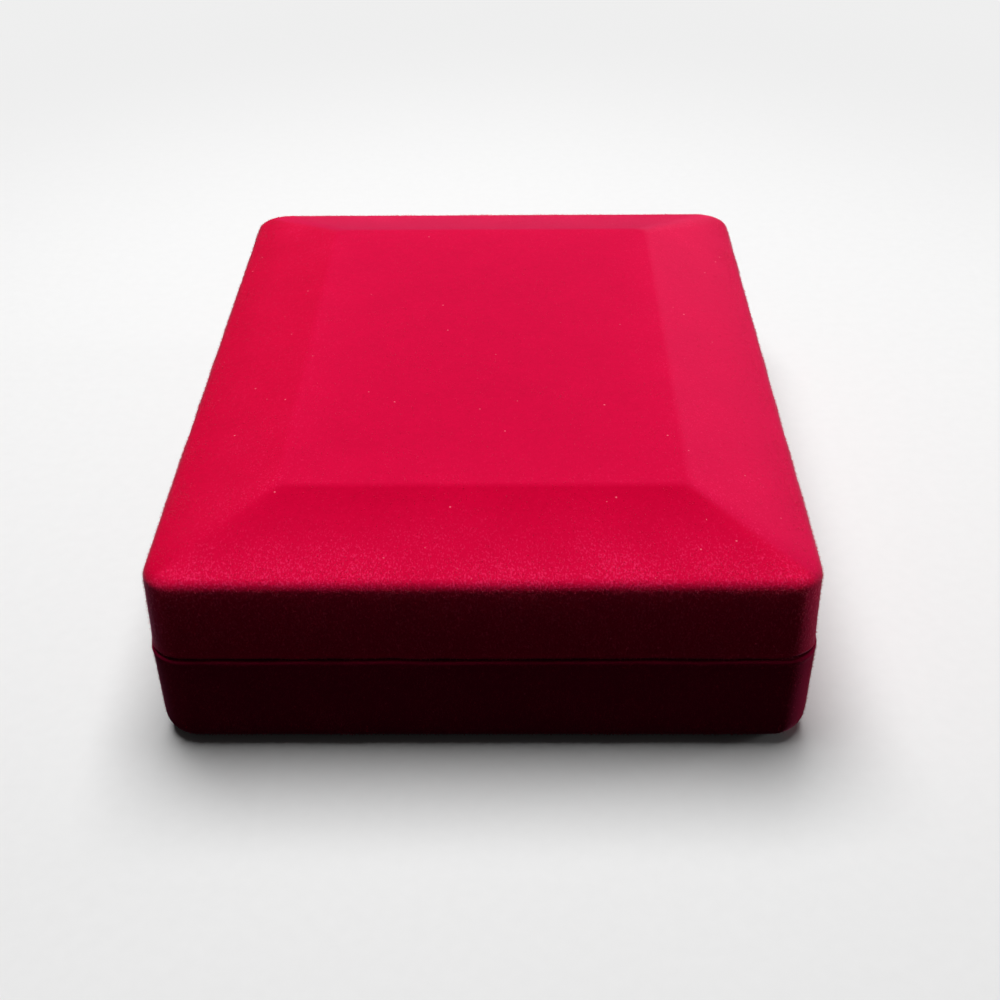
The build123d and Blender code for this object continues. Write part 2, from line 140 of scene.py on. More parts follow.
class Graph:
    """The node tree of one material or world."""

    def __init__(self, name: str, world: bool = False) -> None:
        """Makes an empty material, or an empty world.

        Args:
            name: Its name.
            world: Whether it is a world.
        """
        self.owner = (bpy.data.worlds if world else bpy.data.materials).new(name)
        self.owner.use_nodes = True
        self.tree = self.owner.node_tree
        self.tree.nodes.clear()

    def node(self, kind: str, settings: dict[str, Any] | None = None,
             values: dict[str | int, Any] | None = None,
             output: str | int = 0) -> Wire | None:
        """Adds any node.

        Args:
            kind: The node's type.
            settings: Attributes of the node, set before its sockets.
            values: Wires, numbers, colours or vectors for its input sockets.
            output: Which of its outputs is wanted, by name or index.

        Returns:
            The output, or nothing from a node that has none.
        """
        made = self.tree.nodes.new(kind)
        for key, value in (settings or {}).items():
            setattr(made, key, value)
        for key, value in (values or {}).items():
            if isinstance(value, Wire):
                self.tree.links.new(value.socket, made.inputs[key])
            else:
                made.inputs[key].default_value = value
        return Wire(self, made.outputs[output]) if made.outputs else None

    def place(self) -> Wire:
        """The point on the object, in metres."""
        return self.node("ShaderNodeTexCoord", output="Object")

    def attribute(self, name: str) -> Wire:
        """A number stored on the mesh."""
        return self.node("ShaderNodeAttribute", {"attribute_name": name}, output="Fac")

    def seen(self) -> Wire:
        """Tells what is looked at from what only lights other things.

        Returns:
            One where a surface is seen plainly, in gloss or through glass, and zero elsewhere.
        """
        plain, gloss, through = (self.node("ShaderNodeLightPath", output=f"Is {kind} Ray")
                                 for kind in ("Camera", "Glossy", "Transmission"))
        return (plain + gloss + through).clamped()

    def stretched(self, vector: Wire, scale: Triple, turn: float = 0.0) -> Wire:
        """A vector scaled along each axis, after a turn about Z in radians."""
        values = {"Vector": vector, "Scale": scale, "Rotation": (0.0, 0.0, turn)}
        return self.node("ShaderNodeMapping", None, values)

    def noise(self, vector: Wire, grain: float, detail: float = 2.0, rough: float = 0.5) -> Wire:
        """Cloudy noise around one half.

        Args:
            vector: Where it is read.
            grain: The size of its grains, in millimetres.
            detail: How many finer octaves it has.
            rough: How strong those are.

        Returns:
            The noise.
        """
        values = {"Vector": vector, "Scale": 1.0 / (grain * MM), "Detail": detail,
                  "Roughness": rough}
        return self.node("ShaderNodeTexNoise", None, values)

    def specks(self, vector: Wire, spacing: float) -> Wire:
        """The distance from scattered points of about one spacing in millimetres."""
        values = {"Vector": vector, "Scale": 1.0 / (spacing * MM)}
        return self.node("ShaderNodeTexVoronoi", None, values)

    def blend(self, share: Wire | float, first: Wire | Triple, second: Wire | Triple) -> Wire:
        """A colour between two others.

        Args:
            share: How much of the second colour there is.
            first: The first colour.
            second: The second colour.

        Returns:
            The colour.
        """
        first, second = (c if isinstance(c, Wire) else (*c, 1.0) for c in (first, second))
        settings = {"data_type": "RGBA", "clamp_factor": True}
        return self.node("ShaderNodeMix", settings, {0: share, 6: first, 7: second}, output=2)

    def bump(self, height: Wire, depth: float, strength: float) -> Wire:
        """A normal roughened by a height.

        Args:
            height: The height, from zero to one.
            depth: What one unit of height stands for, in millimetres.
            strength: The share of it that is used.

        Returns:
            The normal.
        """
        values = {"Height": height, "Distance": depth * MM, "Strength": strength}
        return self.node("ShaderNodeBump", None, values)

    def mixed(self, share: Wire, first: Wire, second: Wire) -> Wire:
        """A shader between two others, with a share of the second."""
        return self.node("ShaderNodeMixShader", None, {0: share, 1: first, 2: second})

    def finish(self, values: dict[str | int, Any]) -> Material:
        """Ends the material in one Principled shader.

        Args:
            values: Wires, numbers or colours for the shader's own sockets.

        Returns:
            The material.
        """
        shader = self.node("ShaderNodeBsdfPrincipled", None, values)
        self.node("ShaderNodeOutputMaterial", None, {"Surface": shader})
        return self.owner


def grey(level: float) -> Triple:
    """A grey of some brightness."""
    return (level, level, level)


def shaded(colour: Triple, share: float) -> Triple:
    """A colour with only a share of its light."""
    return tuple(part * share for part in colour)


@dataclass(frozen=True)
class Velvet:
    """Short pile: deep between the fibres, bright on their tips, with a soft sheen.

    Sizes are in millimetres. A cover is the most that a colour is mixed in. Edges are where a
    noise starts to count and where it counts in full. A fall is how much the painted glints and
    the wisps count on a wall just below the eave, and how much less at the rim.
    """

    name: str
    deep: Triple
    bright: Triple
    glow: Triple
    sheen: float = 0.5
    sheen_width: float = 0.45
    grain: float = 0.42
    tuft_ratio: float = 3.1
    pile_share: float = 0.55
    mottle: float = 9.0
    clouding: float = 0.3
    pile_depth: float = 0.1
    relief: float = 0.5
    highlight_and_relief: Triple = (0.80, 0.005, 0.062)
    painted_highlight_cover: float = 0.5
    laid_cover: float = 0.45
    laid_shade: float = 0.35
    bloomed: Triple = (0.60, 0.011, 0.085)
    bloom_cover: float = 0.44
    fleck: Triple = (0.95, 0.028, 0.14)
    fleck_cover: float = 0.55
    fleck_size: float = 0.34
    fleck_stretch: Triple = (1.0, 0.6, 0.6)
    fleck_gain: float = 0.14
    fleck_least: float = 0.12
    fleck_power: float = 1.6
    fleck_height: float = 0.5
    strand_turns: Pair = (0.5, 2.2)
    strand_edges: tuple[Pair, ...] = ((0.66, 0.80), (0.68, 0.82))
    wall_edges: Pair = (0.02, 0.16)
    glint: Triple = (0.95, 0.075, 0.15)
    glint_cover: float = 0.65
    glint_edges: Pair = (0.58, 0.71)
    glint_fall: Pair = (1.1, 0.9)
    wisp_size: float = 0.62
    wisp_stretch: Triple = (1.0, 1.0, 0.6)
    wisp_edges: Pair = (0.44, 0.68)
    wisp_fall: Pair = (1.1, 0.6)
    wall_height: float = 1.2
    lint: float = 0.0
    lint_colour: Triple = (1.0, 0.17, 0.26)
    lint_cover: float = 0.7
    lint_spacing: float = 4.0
    lint_blur: float = 2.2
    lint_patch: float = 9.0
    lint_level: float = 0.52

    def flecked(self, graph: Graph, colour: Wire) -> tuple[Wire, Wire]:
        """The colour with painted glints: flecks where tufts catch the light, and glints on the
        walls.

        Args:
            graph: The material's graph.
            colour: The colour so far.

        Returns:
            The colour, and how high the flecks, the tips and wisps of the pile stand.
        """
        place, standing, laid = graph.place(), graph.attribute("standing"), graph.attribute("laid")
        strands = [graph.noise(graph.stretched(place, self.fleck_stretch, turn), self.fleck_size,
                               detail=1.0) for turn in self.strand_turns]
        first, second = ((strand + self.fleck_gain * standing).ramp(*edges)
                         for strand, edges in zip(strands, self.strand_edges))
        most = self.fleck_least + (1 - self.fleck_least) * standing ** self.fleck_power
        flecks = ((first + second) * most).clamped()
        # Painted glints: pale flecks where tufts catch the light, more where the painted highlight
        # is.
        colour = graph.blend(flecks * self.fleck_cover, colour, self.fleck)
        walls = laid.ramp(*self.wall_edges)
        glints, wisps = (full - less * laid for full, less in (self.glint_fall, self.wisp_fall))
        # Painted glints on the walls, fading towards the rim.
        painted_glints = (strands[0].ramp(*self.glint_edges) * walls * glints).clamped()
        colour = graph.blend(painted_glints * self.glint_cover, colour, self.glint)
        tangle = graph.noise(graph.stretched(place, self.wisp_stretch), self.wisp_size, rough=0.6)
        ruffled = tangle.ramp(*self.wisp_edges) * walls * wisps
        return colour, self.fleck_height * flecks + self.wall_height * (painted_glints + ruffled)

    def build(self) -> Material:
        """Makes the material.

        The attribute standing is a painted highlight: there the colour is brighter, with
        more painted glints. The attribute laid is the share of the way down the skirt, along
        which painted shade darkens it. The attribute bloom is a painted sheen, where the
        colour is pinker.

        Returns:
            The material.
        """
        graph = Graph(self.name)
        place = graph.place()
        pile = graph.noise(place, self.grain, rough=0.6)
        tufts = graph.noise(place, self.grain * self.tuft_ratio)
        clouds = graph.noise(place, self.mottle, detail=3.0, rough=0.55)
        height = pile * self.pile_share + tufts * (1 - self.pile_share)
        tone = (height + (clouds - 0.5) * self.clouding).clamped()
        colour = graph.blend(tone, self.deep, self.bright)
        # Painted sheen: pinker where the face turns to the back and to the right, and on the skirt.
        colour = graph.blend(graph.attribute("bloom") * self.bloom_cover, colour, self.bloomed)
        # Painted highlight: brighter and pinker near the eave, along the hips and at the panel's
        # edge.
        colour = graph.blend(graph.attribute("standing") * self.painted_highlight_cover, colour, self.highlight_and_relief)
        # Painted shade: the skirt's colour darkens towards the rim.
        colour = graph.blend(graph.attribute("laid") * self.laid_cover, colour,
                             shaded(self.deep, self.laid_shade))
        colour, highlight_and_relief = self.flecked(graph, colour)
        if self.lint > 0.0:
            away = graph.specks(place, self.lint_spacing)
            speck = 1 - away.ramp(self.lint, self.lint * self.lint_blur)
            chosen = graph.noise(place, self.lint_patch, detail=1.0).above(self.lint_level)
            colour = graph.blend(speck * chosen * self.lint_cover, colour, self.lint_colour)
        return graph.finish({
            "Base Color": colour,
            "Roughness": 0.92 - 0.12 * tone,
            "Specular IOR Level": 0.0,
            "Sheen Weight": self.sheen,
            "Sheen Roughness": self.sheen_width,
            "Sheen Tint": (*self.glow, 1.0),
            "Normal": graph.bump(height + highlight_and_relief, self.pile_depth, self.relief),
        })


@dataclass(frozen=True)
class Nap:
    """Single fibres that stand out of the pile, with a painted sheen that pales them towards their
    tips, some more than others.
    """

    name: str
    root: Triple
    tip: Triple
    glow: Triple
    least: float = 0.2
    power: float = 2.5

    def build(self) -> Material:
        """Makes the material.

        Returns:
            The material.
        """
        graph = Graph(self.name)
        height, shade = graph.attribute("fibre_height"), graph.attribute("fibre_shade")
        # Painted sheen: the tips are paler, by a random share for each fibre.
        painted_tip_sheen = height * (self.least + (1 - self.least) * shade ** self.power)
        return graph.finish({
            "Base Color": graph.blend(painted_tip_sheen.clamped(), self.root, self.tip),
            "Roughness": 0.55 + 0.3 * (1 - height),
            "Specular IOR Level": 0.1,
            "Sheen Weight": 0.3,
            "Sheen Tint": (*self.glow, 1.0),
        })


@dataclass(frozen=True)
class Satin:
    """Smooth woven satin: fine floats that run one way, with a soft lustre along them.

    Run and cross stretch the noise of its floats and of its weft. Its tones say how much the weave
    and its drift lighten it, and how light it is without them. A ribbon has a selvedge, a groove
    along both edges at that distance from its middle, darkened by painted shade.
    """

    name: str
    shade: Triple
    light: Triple
    thread: float = 0.16
    weft_ratio: float = 2.2
    float_share: float = 0.7
    drift: float = 24.0
    tones: Triple = (0.9, 0.7, 0.55)
    lustre: float = 0.34
    run: Triple = (0.12, 1.0, 1.0)
    cross: Triple = (1.0, 0.2, 1.0)
    selvedge: float = 0.0
    groove_width: float = 0.25
    groove_painted_shade: float = 0.55

    def build(self) -> Material:
        """Makes the material.

        Returns:
            The material.
        """
        graph = Graph(self.name)
        place = graph.place()
        floats = graph.noise(graph.stretched(place, self.run), self.thread, detail=1.0)
        weft = graph.noise(graph.stretched(place, self.cross), self.thread * self.weft_ratio,
                           detail=1.0)
        drift = graph.noise(place, self.drift, detail=3.0)
        weave = floats * self.float_share + weft * (1 - self.float_share)
        woven, drifted, level = self.tones
        tone = ((weave - 0.5) * woven + (drift - 0.5) * drifted + level).clamped()
        colour = graph.blend(tone, self.shade, self.light)
        if self.selvedge > 0.0:
            across = graph.node("ShaderNodeSeparateXYZ", None, {"Vector": place})
            out = (across * across) ** 0.5 * (1 / MM)
            rise, fall = (out.ramp(start, start + self.groove_width)
                          for start in (self.selvedge - self.groove_width, self.selvedge))
            groove = rise * (1 - fall)
            # Painted shade: the selvedge groove is darkened.
            colour = graph.blend(groove * self.groove_painted_shade, colour,
                                 shaded(self.shade, self.groove_painted_shade))
            weave = weave - groove
        return graph.finish({
            "Base Color": colour,
            "Roughness": self.lustre + 0.16 * (1 - weave),
            "Specular IOR Level": 0.55,
            "Anisotropic": 0.45,
            "Sheen Weight": 0.2,
            "Sheen Roughness": 0.4,
            "Normal": graph.bump(weave, depth=0.03, strength=0.6),
        })


@dataclass(frozen=True)
class Card:
    """Uncoated board: pressed fibres that run one way, a few darker than the rest.

    Its tones say how much the fibres and the clouds darken it, and how dark it is without them.
    """

    name: str
    pulp: Triple
    fleck: Triple
    fibre: float = 0.35
    fibre_stretch: Triple = (1.0, 0.25, 1.0)
    fibre_turn: float = 0.5
    cloud: float = 6.0
    tones: Triple = (1.6, 0.8, 0.35)

    def build(self) -> Material:
        """Makes the material.

        Returns:
            The material.
        """
        graph = Graph(self.name)
        place = graph.place()
        fibres = graph.noise(graph.stretched(place, self.fibre_stretch, self.fibre_turn),
                             self.fibre, detail=3.0, rough=0.6)
        clouds = graph.noise(place, self.cloud, detail=3.0)
        fibrous, cloudy, level = self.tones
        tone = ((fibres - 0.5) * fibrous + (clouds - 0.5) * cloudy + level).clamped()
        return graph.finish({
            "Base Color": graph.blend(tone, self.pulp, self.fleck),
            "Roughness": 0.9 - 0.1 * tone,
            "Normal": graph.bump(fibres, depth=0.05, strength=0.7),
        })


@dataclass(frozen=True)
class PlatedSteel:
    """Plated steel: drawn lines along the piece, and patches where the plating is dull."""

    name: str
    plate: Triple
    dull: Triple
    line: float = 0.12
    line_stretch: Triple = (0.06, 1.0, 1.0)
    stain: float = 2.6
    stain_edges: Pair = (0.42, 0.7)
    stain_cover: float = 0.6
    line_cover: float = 0.2

    def build(self) -> Material:
        """Makes the material.

        Returns:
            The material.
        """
        graph = Graph(self.name)
        place = graph.place()
        lines = graph.noise(graph.stretched(place, self.line_stretch), self.line, rough=0.6)
        stains = graph.noise(place, self.stain, detail=4.0, rough=0.6).ramp(*self.stain_edges)
        dulled = stains * self.stain_cover + lines * self.line_cover
        return graph.finish({
            "Base Color": graph.blend(dulled, self.plate, self.dull),
            "Metallic": 1.0 - 0.12 * stains,
            "Roughness": 0.2 + 0.22 * stains + 0.12 * lines,
            "Normal": graph.bump(lines, depth=0.012, strength=0.6),
        })


@dataclass(frozen=True)
class Lattice:
    """Matching points round any rounded rectangle, and the grid that spans it.

    A point of the outline is core * (half - radius) + radius * out, where core runs round a unit
    square and out is the outward direction, which turns through the corners. Its places run along
    X and along Y, from one end of the straight side to the other.
    """

    x_places: Sequence[float]
    y_places: Sequence[float]
    corner_steps: int = 12

    def side(self, turn: int, shares: Array) -> tuple[Array, Array]:
        """One side, from the middle of one corner to the middle of the next.

        Args:
            turn: How many quarter turns the side is from the front.
            shares: Where its straight points lie, from minus one to one.

        Returns:
            The cores and outward directions of its points, without the last.
        """
        half = self.corner_steps // 2
        rise = np.linspace(-math.pi / 4, 0.0, half + 1)[:-1]
        angle = np.concatenate([rise, np.zeros(len(shares)), -rise[::-1]])
        along = np.concatenate([-np.ones(half), shares, np.ones(half)])
        core = np.stack([along, -np.ones_like(along)], axis=1)
        out = np.stack([np.sin(angle), -np.cos(angle)], axis=1)
        cos, sin = math.cos(turn * math.pi / 2), math.sin(turn * math.pi / 2)
        matrix = np.array([[cos, sin], [-sin, cos]])
        return (core @ matrix)[:-1], (out @ matrix)[:-1]

    def ring(self) -> tuple[Array, Array]:
        """All points, anticlockwise from above.

        Returns:
            Their cores and outward directions.
        """
        forward = [np.array(places) / places[-1] for places in (self.x_places, self.y_places)]
        backward = [-shares[::-1] for shares in forward]
        sides = [self.side(turn, shares) for turn, shares in enumerate(forward + backward)]
        return np.concatenate([s[0] for s in sides]), np.concatenate([s[1] for s in sides])

    def counts(self) -> tuple[int, int]:
        """How many steps the grid has along X and along Y."""
        return (len(self.x_places) + self.corner_steps - 1,
                len(self.y_places) + self.corner_steps - 1)


def grid_faces(rows: int, columns: int, start: int = 0, closed: bool = False,
               ring: bool = False) -> Array:
    """The four-sided faces of a grid of points.

    Point (i, k) has the number start + i * columns + k. A face joins it to (i, k + 1),
    (i + 1, k + 1) and (i + 1, k).

    Args:
        rows: How many rows the grid has.
        columns: How many points a row has.
        start: The number of the first point.
        closed: Whether the end of each row joins its start.
        ring: Whether the last row joins the first.

    Returns:
        The faces, as rows of point numbers.
    """
    last_row, last_column = rows - (not ring), columns - (not closed)
    i, k = np.meshgrid(np.arange(last_row), np.arange(last_column), indexing="ij")
    above, after = (i + 1) % rows, (k + 1) % columns
    faces = np.stack([i * columns + k, i * columns + after,
                      above * columns + after, above * columns + k], axis=-1)
    return start + faces.reshape(-1, 4)


@dataclass(frozen=True)
class Section:
    """One level of a rounded form: how far it is drawn in, its height and its corner radius."""

    inset: float
    level: float
    radius: float


@dataclass
class RoundedForm:
    """A closed form of rounded rectangles, one above the other, with a grid at both ends.

    Point (i, k) is core_k * (half - inset_i - radius_i) + radius_i * out_k, at level_i.
    The end grids blend opposite sides of their outline: P = across + along - corners.
    """

    half: Sequence[float]
    lattice: Lattice
    sections: list[Section]
    centre: Sequence[float] = (0.0, 0.0)

    def loops(self) -> Array:
        """All points of the walls.

        Returns:
            The points, as sections by points by three.
        """
        core, out = self.lattice.ring()
        inset, radius, level = (np.array([getattr(s, part) for s in self.sections])[:, None, None]
                                for part in ("inset", "radius", "level"))
        plan = core[None] * (np.array(self.half) - inset - radius) + radius * out[None]
        plan = plan + np.array(self.centre)
        return np.concatenate([plan, np.broadcast_to(level, plan.shape[:2] + (1,))], axis=2)

    def span(self, loop: Array) -> Array:
        """The grid inside one loop.

        Args:
            loop: The loop's points.

        Returns:
            Its points, as Y rows by X columns by three.
        """
        count_x, count_y = self.lattice.counts()
        front = loop[:count_x + 1]
        right = loop[count_x:count_x + count_y + 1]
        back = loop[count_x + count_y:2 * count_x + count_y + 1][::-1]
        left = np.concatenate([loop[2 * count_x + count_y:], loop[:1]])[::-1]
        u = ((front[:, 0] - front[0, 0]) / (front[-1, 0] - front[0, 0]))[None, :, None]
        v = ((left[:, 1] - left[0, 1]) / (left[-1, 1] - left[0, 1]))[:, None, None]
        across = (1 - v) * front[None] + v * back[None]
        along = (1 - u) * left[:, None] + u * right[:, None]
        corners = ((1 - v) * ((1 - u) * front[0] + u * front[-1])
                   + v * ((1 - u) * back[0] + u * back[-1]))
        return across + along - corners

    def mesh(self, loops: Array, high_span: Array | None = None) -> tuple[Array, Array]:
        """The vertices and four-sided faces of the closed form.

        Args:
            loops: The walls' points.
            high_span: The grid at the last section, if it was changed.

        Returns:
            The vertices in millimetres, and the faces. Faces point outwards where the sections
            climb on the outside.
        """
        low_span = self.span(loops[0])
        high_span = self.span(loops[-1]) if high_span is None else high_span
        vertices = [loops.reshape(-1, 3)]
        faces = [grid_faces(*loops.shape[:2], closed=True)]
        for span, order in ((low_span, -1), (high_span, 1)):
            start = sum(len(part) for part in vertices)
            faces.append(grid_faces(*span.shape[:2], start)[:, ::order])
            vertices.append(span.reshape(-1, 3))
        return np.concatenate(vertices), np.concatenate(faces)


def make_piece(name: str, vertices: Array, faces: Array, sharp: float | None = None,
               merge: float = 0.002) -> Piece:
    """Writes a mesh and links its object, untransformed.

    Args:
        name: The piece's name.
        vertices: Its points, in millimetres.
        faces: Its faces, as rows of vertex numbers.
        sharp: The angle in degrees past which an edge stays sharp, or None for all smooth.
        merge: How close points are joined, in millimetres; zero leaves them. An edge of less
            than a tenth of it is taken out.

    Returns:
        The object.
    """
    mesh = bpy.data.meshes.new(name)
    mesh.vertices.add(len(vertices))
    mesh.vertices.foreach_set("co", (vertices * MM).astype(np.float32).ravel())
    mesh.loops.add(faces.size)
    mesh.loops.foreach_set("vertex_index", faces.astype(np.int32).ravel())
    mesh.polygons.add(len(faces))
    starts = np.arange(0, faces.size, faces.shape[1], dtype=np.int32)
    mesh.polygons.foreach_set("loop_start", starts)
    mesh.update(calc_edges=True)
    if merge > 0.0:
        work = bmesh.new()
        work.from_mesh(mesh)
        bmesh.ops.remove_doubles(work, verts=work.verts, dist=merge * MM)
        bmesh.ops.dissolve_degenerate(work, edges=work.edges, dist=merge * MM / 10)
        work.to_mesh(mesh)
        work.free()
    mesh.validate()
    mesh.shade_smooth()
    if sharp is not None:
        mesh.set_sharp_from_angle(angle=math.radians(sharp))
    piece = bpy.data.objects.new(name, mesh)
    bpy.context.scene.collection.objects.link(piece)
    return piece


def mark(piece: Piece, **numbers: Array) -> None:
    """Stores numbers on a piece's points.

    Args:
        piece: The piece.
        numbers: One number for each point, under the name that a material reads.
    """
    for name, values in numbers.items():
        layer = piece.data.attributes.new(name, "FLOAT", "POINT")
        layer.data.foreach_set("value", values.astype(np.float32))


def points_of(mesh: bpy.types.Mesh) -> Array:
    """A mesh's vertices as an array.

    Args:
        mesh: The mesh.

    Returns:
        Its points, in metres.
    """
    flat = np.empty(len(mesh.vertices) * 3, np.float32)
    mesh.vertices.foreach_get("co", flat)
    return flat.reshape(-1, 3).astype(float)


def dress(piece: Piece, material: Material) -> None:
    """Gives a piece one material."""
    piece.data.materials.clear()
    piece.data.materials.append(material)


def settle(piece: Piece, material: Material, body: Body, slot: Slot,
           *replaced: str) -> Piece:
    """Dresses a finished piece, seats it on its body and hides the nodes that it stands for.

    Args:
        piece: The finished piece.
        material: Its material.
        body: The body that it rides on.
        slot: A material slot of the record; it is not used.
        replaced: The nodes that it stands for.

    Returns:
        The piece.
    """
    dress(piece, material)
    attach(piece, body.value)
    if replaced:
        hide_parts(*replaced)
    LOG.info("%s: %d faces on %s", piece.name, len(piece.data.polygons), body.value)
    return piece


def node_box(node: str) -> tuple[Array, Array]:
    """The lowest and highest corner of a node, in millimetres."""
    low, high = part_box(node)
    return np.array(low) / MM, np.array(high) / MM


def arc_steps(start: float, end: float, count: int) -> Array:
    """Evenly spaced angles in radians, from degrees, both ends included."""
    return np.radians(np.linspace(start, end, count))


def spaced(start: float, end: float, step: float) -> list[float]:
    """Even places from one to another, up or down, about a step apart, both ends included."""
    count = max(1, int(round(abs(end - start) / step)))
    return list(np.linspace(start, end, count + 1))


@dataclass(frozen=True)
class Swell:
    """A slow unevenness: the sum of a few sines of random direction, length and phase.

    It has about this height and period, in millimetres.
    """

    height: float
    period: float

    def at(self, points: Array, seed: int) -> Array:
        """Its height at some points.

        Args:
            points: The points, in millimetres.
            seed: Which unevenness it is.

        Returns:
            One height for each point.
        """
        rng = np.random.default_rng(SEED + seed)
        total = np.zeros(points.shape[:-1])
        for _ in range(WAVES):
            direction = rng.normal(size=points.shape[-1])
            direction = direction / np.linalg.norm(direction)
            length = self.period * rng.uniform(*WAVE_LENGTHS)
            total += np.sin(points @ direction * 2 * math.pi / length + rng.uniform(0, 2 * math.pi))
        return total * self.height / math.sqrt(WAVES)


@dataclass(frozen=True)
class Fall:
    """What fades with a distance: least + most * exp(-(distance / reach) ** 2)."""

    most: float
    reach: float
    least: float = 0.0

    def at(self, distance: Array) -> Array:
        """What is left at some distances."""
        return self.least + self.most * np.exp(-(distance / self.reach) ** 2)


@dataclass
class HingeNotches:
    """Where the rims are cut down for the hinges, read from the places of their leaves.

    The tub's rim is cut down to the floor and let in as far as the foot, the lid's up to the roof
    and the head. Behind a leaf the wall goes back to the face.
    """

    slack: float = 0.15
    end_slack: float = 0.45
    leaf_thickness: float = 0.8
    leaf_slack: float = 0.05
    centres: list[float] = field(init=False)
    half_length: float = field(init=False)
    floor: float = field(init=False)
    roof: float = field(init=False)
    foot: float = field(init=False)
    head: float = field(init=False)
    face: float = field(init=False)

    def __post_init__(self) -> None:
        """Reads the leaves' places from the frame."""
        leaves = [node_box("hinge_base_leaf_" + side) for side in SIDES]
        low, high = leaves[0]
        upper_low, upper_high = node_box("hinge_lid_leaf_left")
        self.centres = [float(leaf[0][0] + leaf[1][0]) / 2 for leaf in leaves]
        self.half_length = float(high[0] - low[0]) / 2 + self.end_slack
        self.floor = float(upper_low[2]) - self.slack
        self.roof = float(high[2]) + self.slack
        self.foot = float(low[2]) - self.slack
        self.head = float(upper_high[2]) + self.slack
        self.face = float(low[1]) + self.leaf_thickness + self.leaf_slack

    def edges(self) -> list[float]:
        """The X values of the notches' sides."""
        return [c + s * self.half_length for c in self.centres for s in (-1, 1)]

    def inside(self, plan: Array, back: float) -> Array:
        """Which points lie in a notch of the back wall, where Y is more than back."""
        away = np.abs(plan[..., :1] - self.centres).min(axis=-1)
        return (away < self.half_length) & (plan[..., 1] > back)


@dataclass(frozen=True)
class PaintedLight:
    """Painted highlight, shade and sheen on the lid and the tub, stored as attributes.

    The painted highlight: on a front or back slope it falls evenly from one at the eave to zero at
    the panel. On a side slope it rises as a smooth step over the lower half, and more beside the
    hips. On the panel it is most * exp(-(distance from its edge) / reach). On a skirt it is
    most * exp(-(distance below the eave / reach) ** 2), while laid, along which the skirt
    gets its painted shade, grows evenly to the rim. The painted sheen is level + turn * (how far
    the face turns to the back, plus how far to the right), most at the back, with a slow drift
    over the panel the same way. It is even on the skirt.
    """

    half: Array
    eave: float
    rim: float
    edge: float
    eave_depth: float
    tub_standing: float = 0.1
    flank_end: float = 0.5
    flank_most: float = 0.35
    hip_most: float = 0.3
    hip_reach: float = 14.0
    hip_blend: float = 2.4
    edge_blend: float = 1.8
    panel_most: float = 0.42
    panel_reach: float = 16.0
    skirt: Fall = Fall(0.75, 5.0)
    bloom: float = 0.48
    bloom_turn: float = 0.44
    bloom_back: float = 0.9
    bloom_drift: Pair = (0.1, 0.12)
    bloom_skirt: float = 0.9
    tufts: Swell = Swell(0.14, 17.0)

    def lid(self, points: Array) -> tuple[Array, Array, Array]:
        """The painted highlight, shade and sheen on the lid.

        Args:
            points: Points of the lid, in millimetres.

        Returns:
            The painted highlight, laid and the painted sheen at each of them.
        """
        side, end = self.half[0] - np.abs(points[:, 0]), self.half[1] - np.abs(points[:, 1])
        inset = np.minimum(side, end)
        climb = np.clip(inset / self.edge, 0.0, 1.0)
        step = np.clip(climb / self.flank_end, 0.0, 1.0)
        on_end = np.clip(0.5 + (side - end) / self.hip_blend, 0.0, 1.0)
        near_hip = np.exp(-np.maximum(end - side, 0.0) / self.hip_reach)
        flank = (self.flank_most + self.hip_most * near_hip) * step * step * (3 - 2 * step)
        slope = on_end * (1 - climb) + (1 - on_end) * flank
        panel = self.panel_most * np.exp(-np.maximum(inset - self.edge, 0.0) / self.panel_reach)
        flat = np.clip(0.5 + (inset - self.edge) / self.edge_blend, 0.0, 1.0)
        below = np.maximum(self.eave - points[:, 2], 0.0)
        on_skirt = below > self.eave_depth
        standing = np.where(on_skirt, self.skirt.at(below), slope * (1 - flat) + panel * flat)
        # The share of the way down the skirt, along which the flock gets its painted shade.
        laid = np.clip(below / (self.eave - self.rim), 0.0, 1.0)
        # Painted sheen: most where the face turns to the back and to the right.
        facing = np.stack([1 - on_end, on_end], axis=1) * np.sign(points[:, :2])
        drift = points[:, :2] @ (np.array(self.bloom_drift) / self.half)
        turned = facing.sum(axis=1) + self.bloom_back * np.maximum(facing[:, 1], 0.0)
        bloom = self.bloom + drift * flat + self.bloom_turn * (1 - flat) * turned
        return standing, laid, np.where(on_skirt, self.bloom_skirt, bloom)

    def comb(self, piece: Piece, roofed: bool) -> None:
        """Writes the painted highlight, shade and sheen on a piece.

        Args:
            piece: The tub or the lid.
            roofed: Whether it is the lid.
        """
        points = points_of(piece.data) / MM
        even, none = np.full(len(points), self.tub_standing), np.zeros(len(points))
        standing, laid, bloom = self.lid(points) if roofed else (even, none, none)
        uneven = np.exp(self.tufts.at(points, seed=72))
        # These attributes carry painted light: a painted highlight, a painted shade down the skirt
        # and a painted sheen.
        mark(piece, standing=np.clip(standing * uneven, 0.0, 1.0), laid=laid, bloom=bloom)


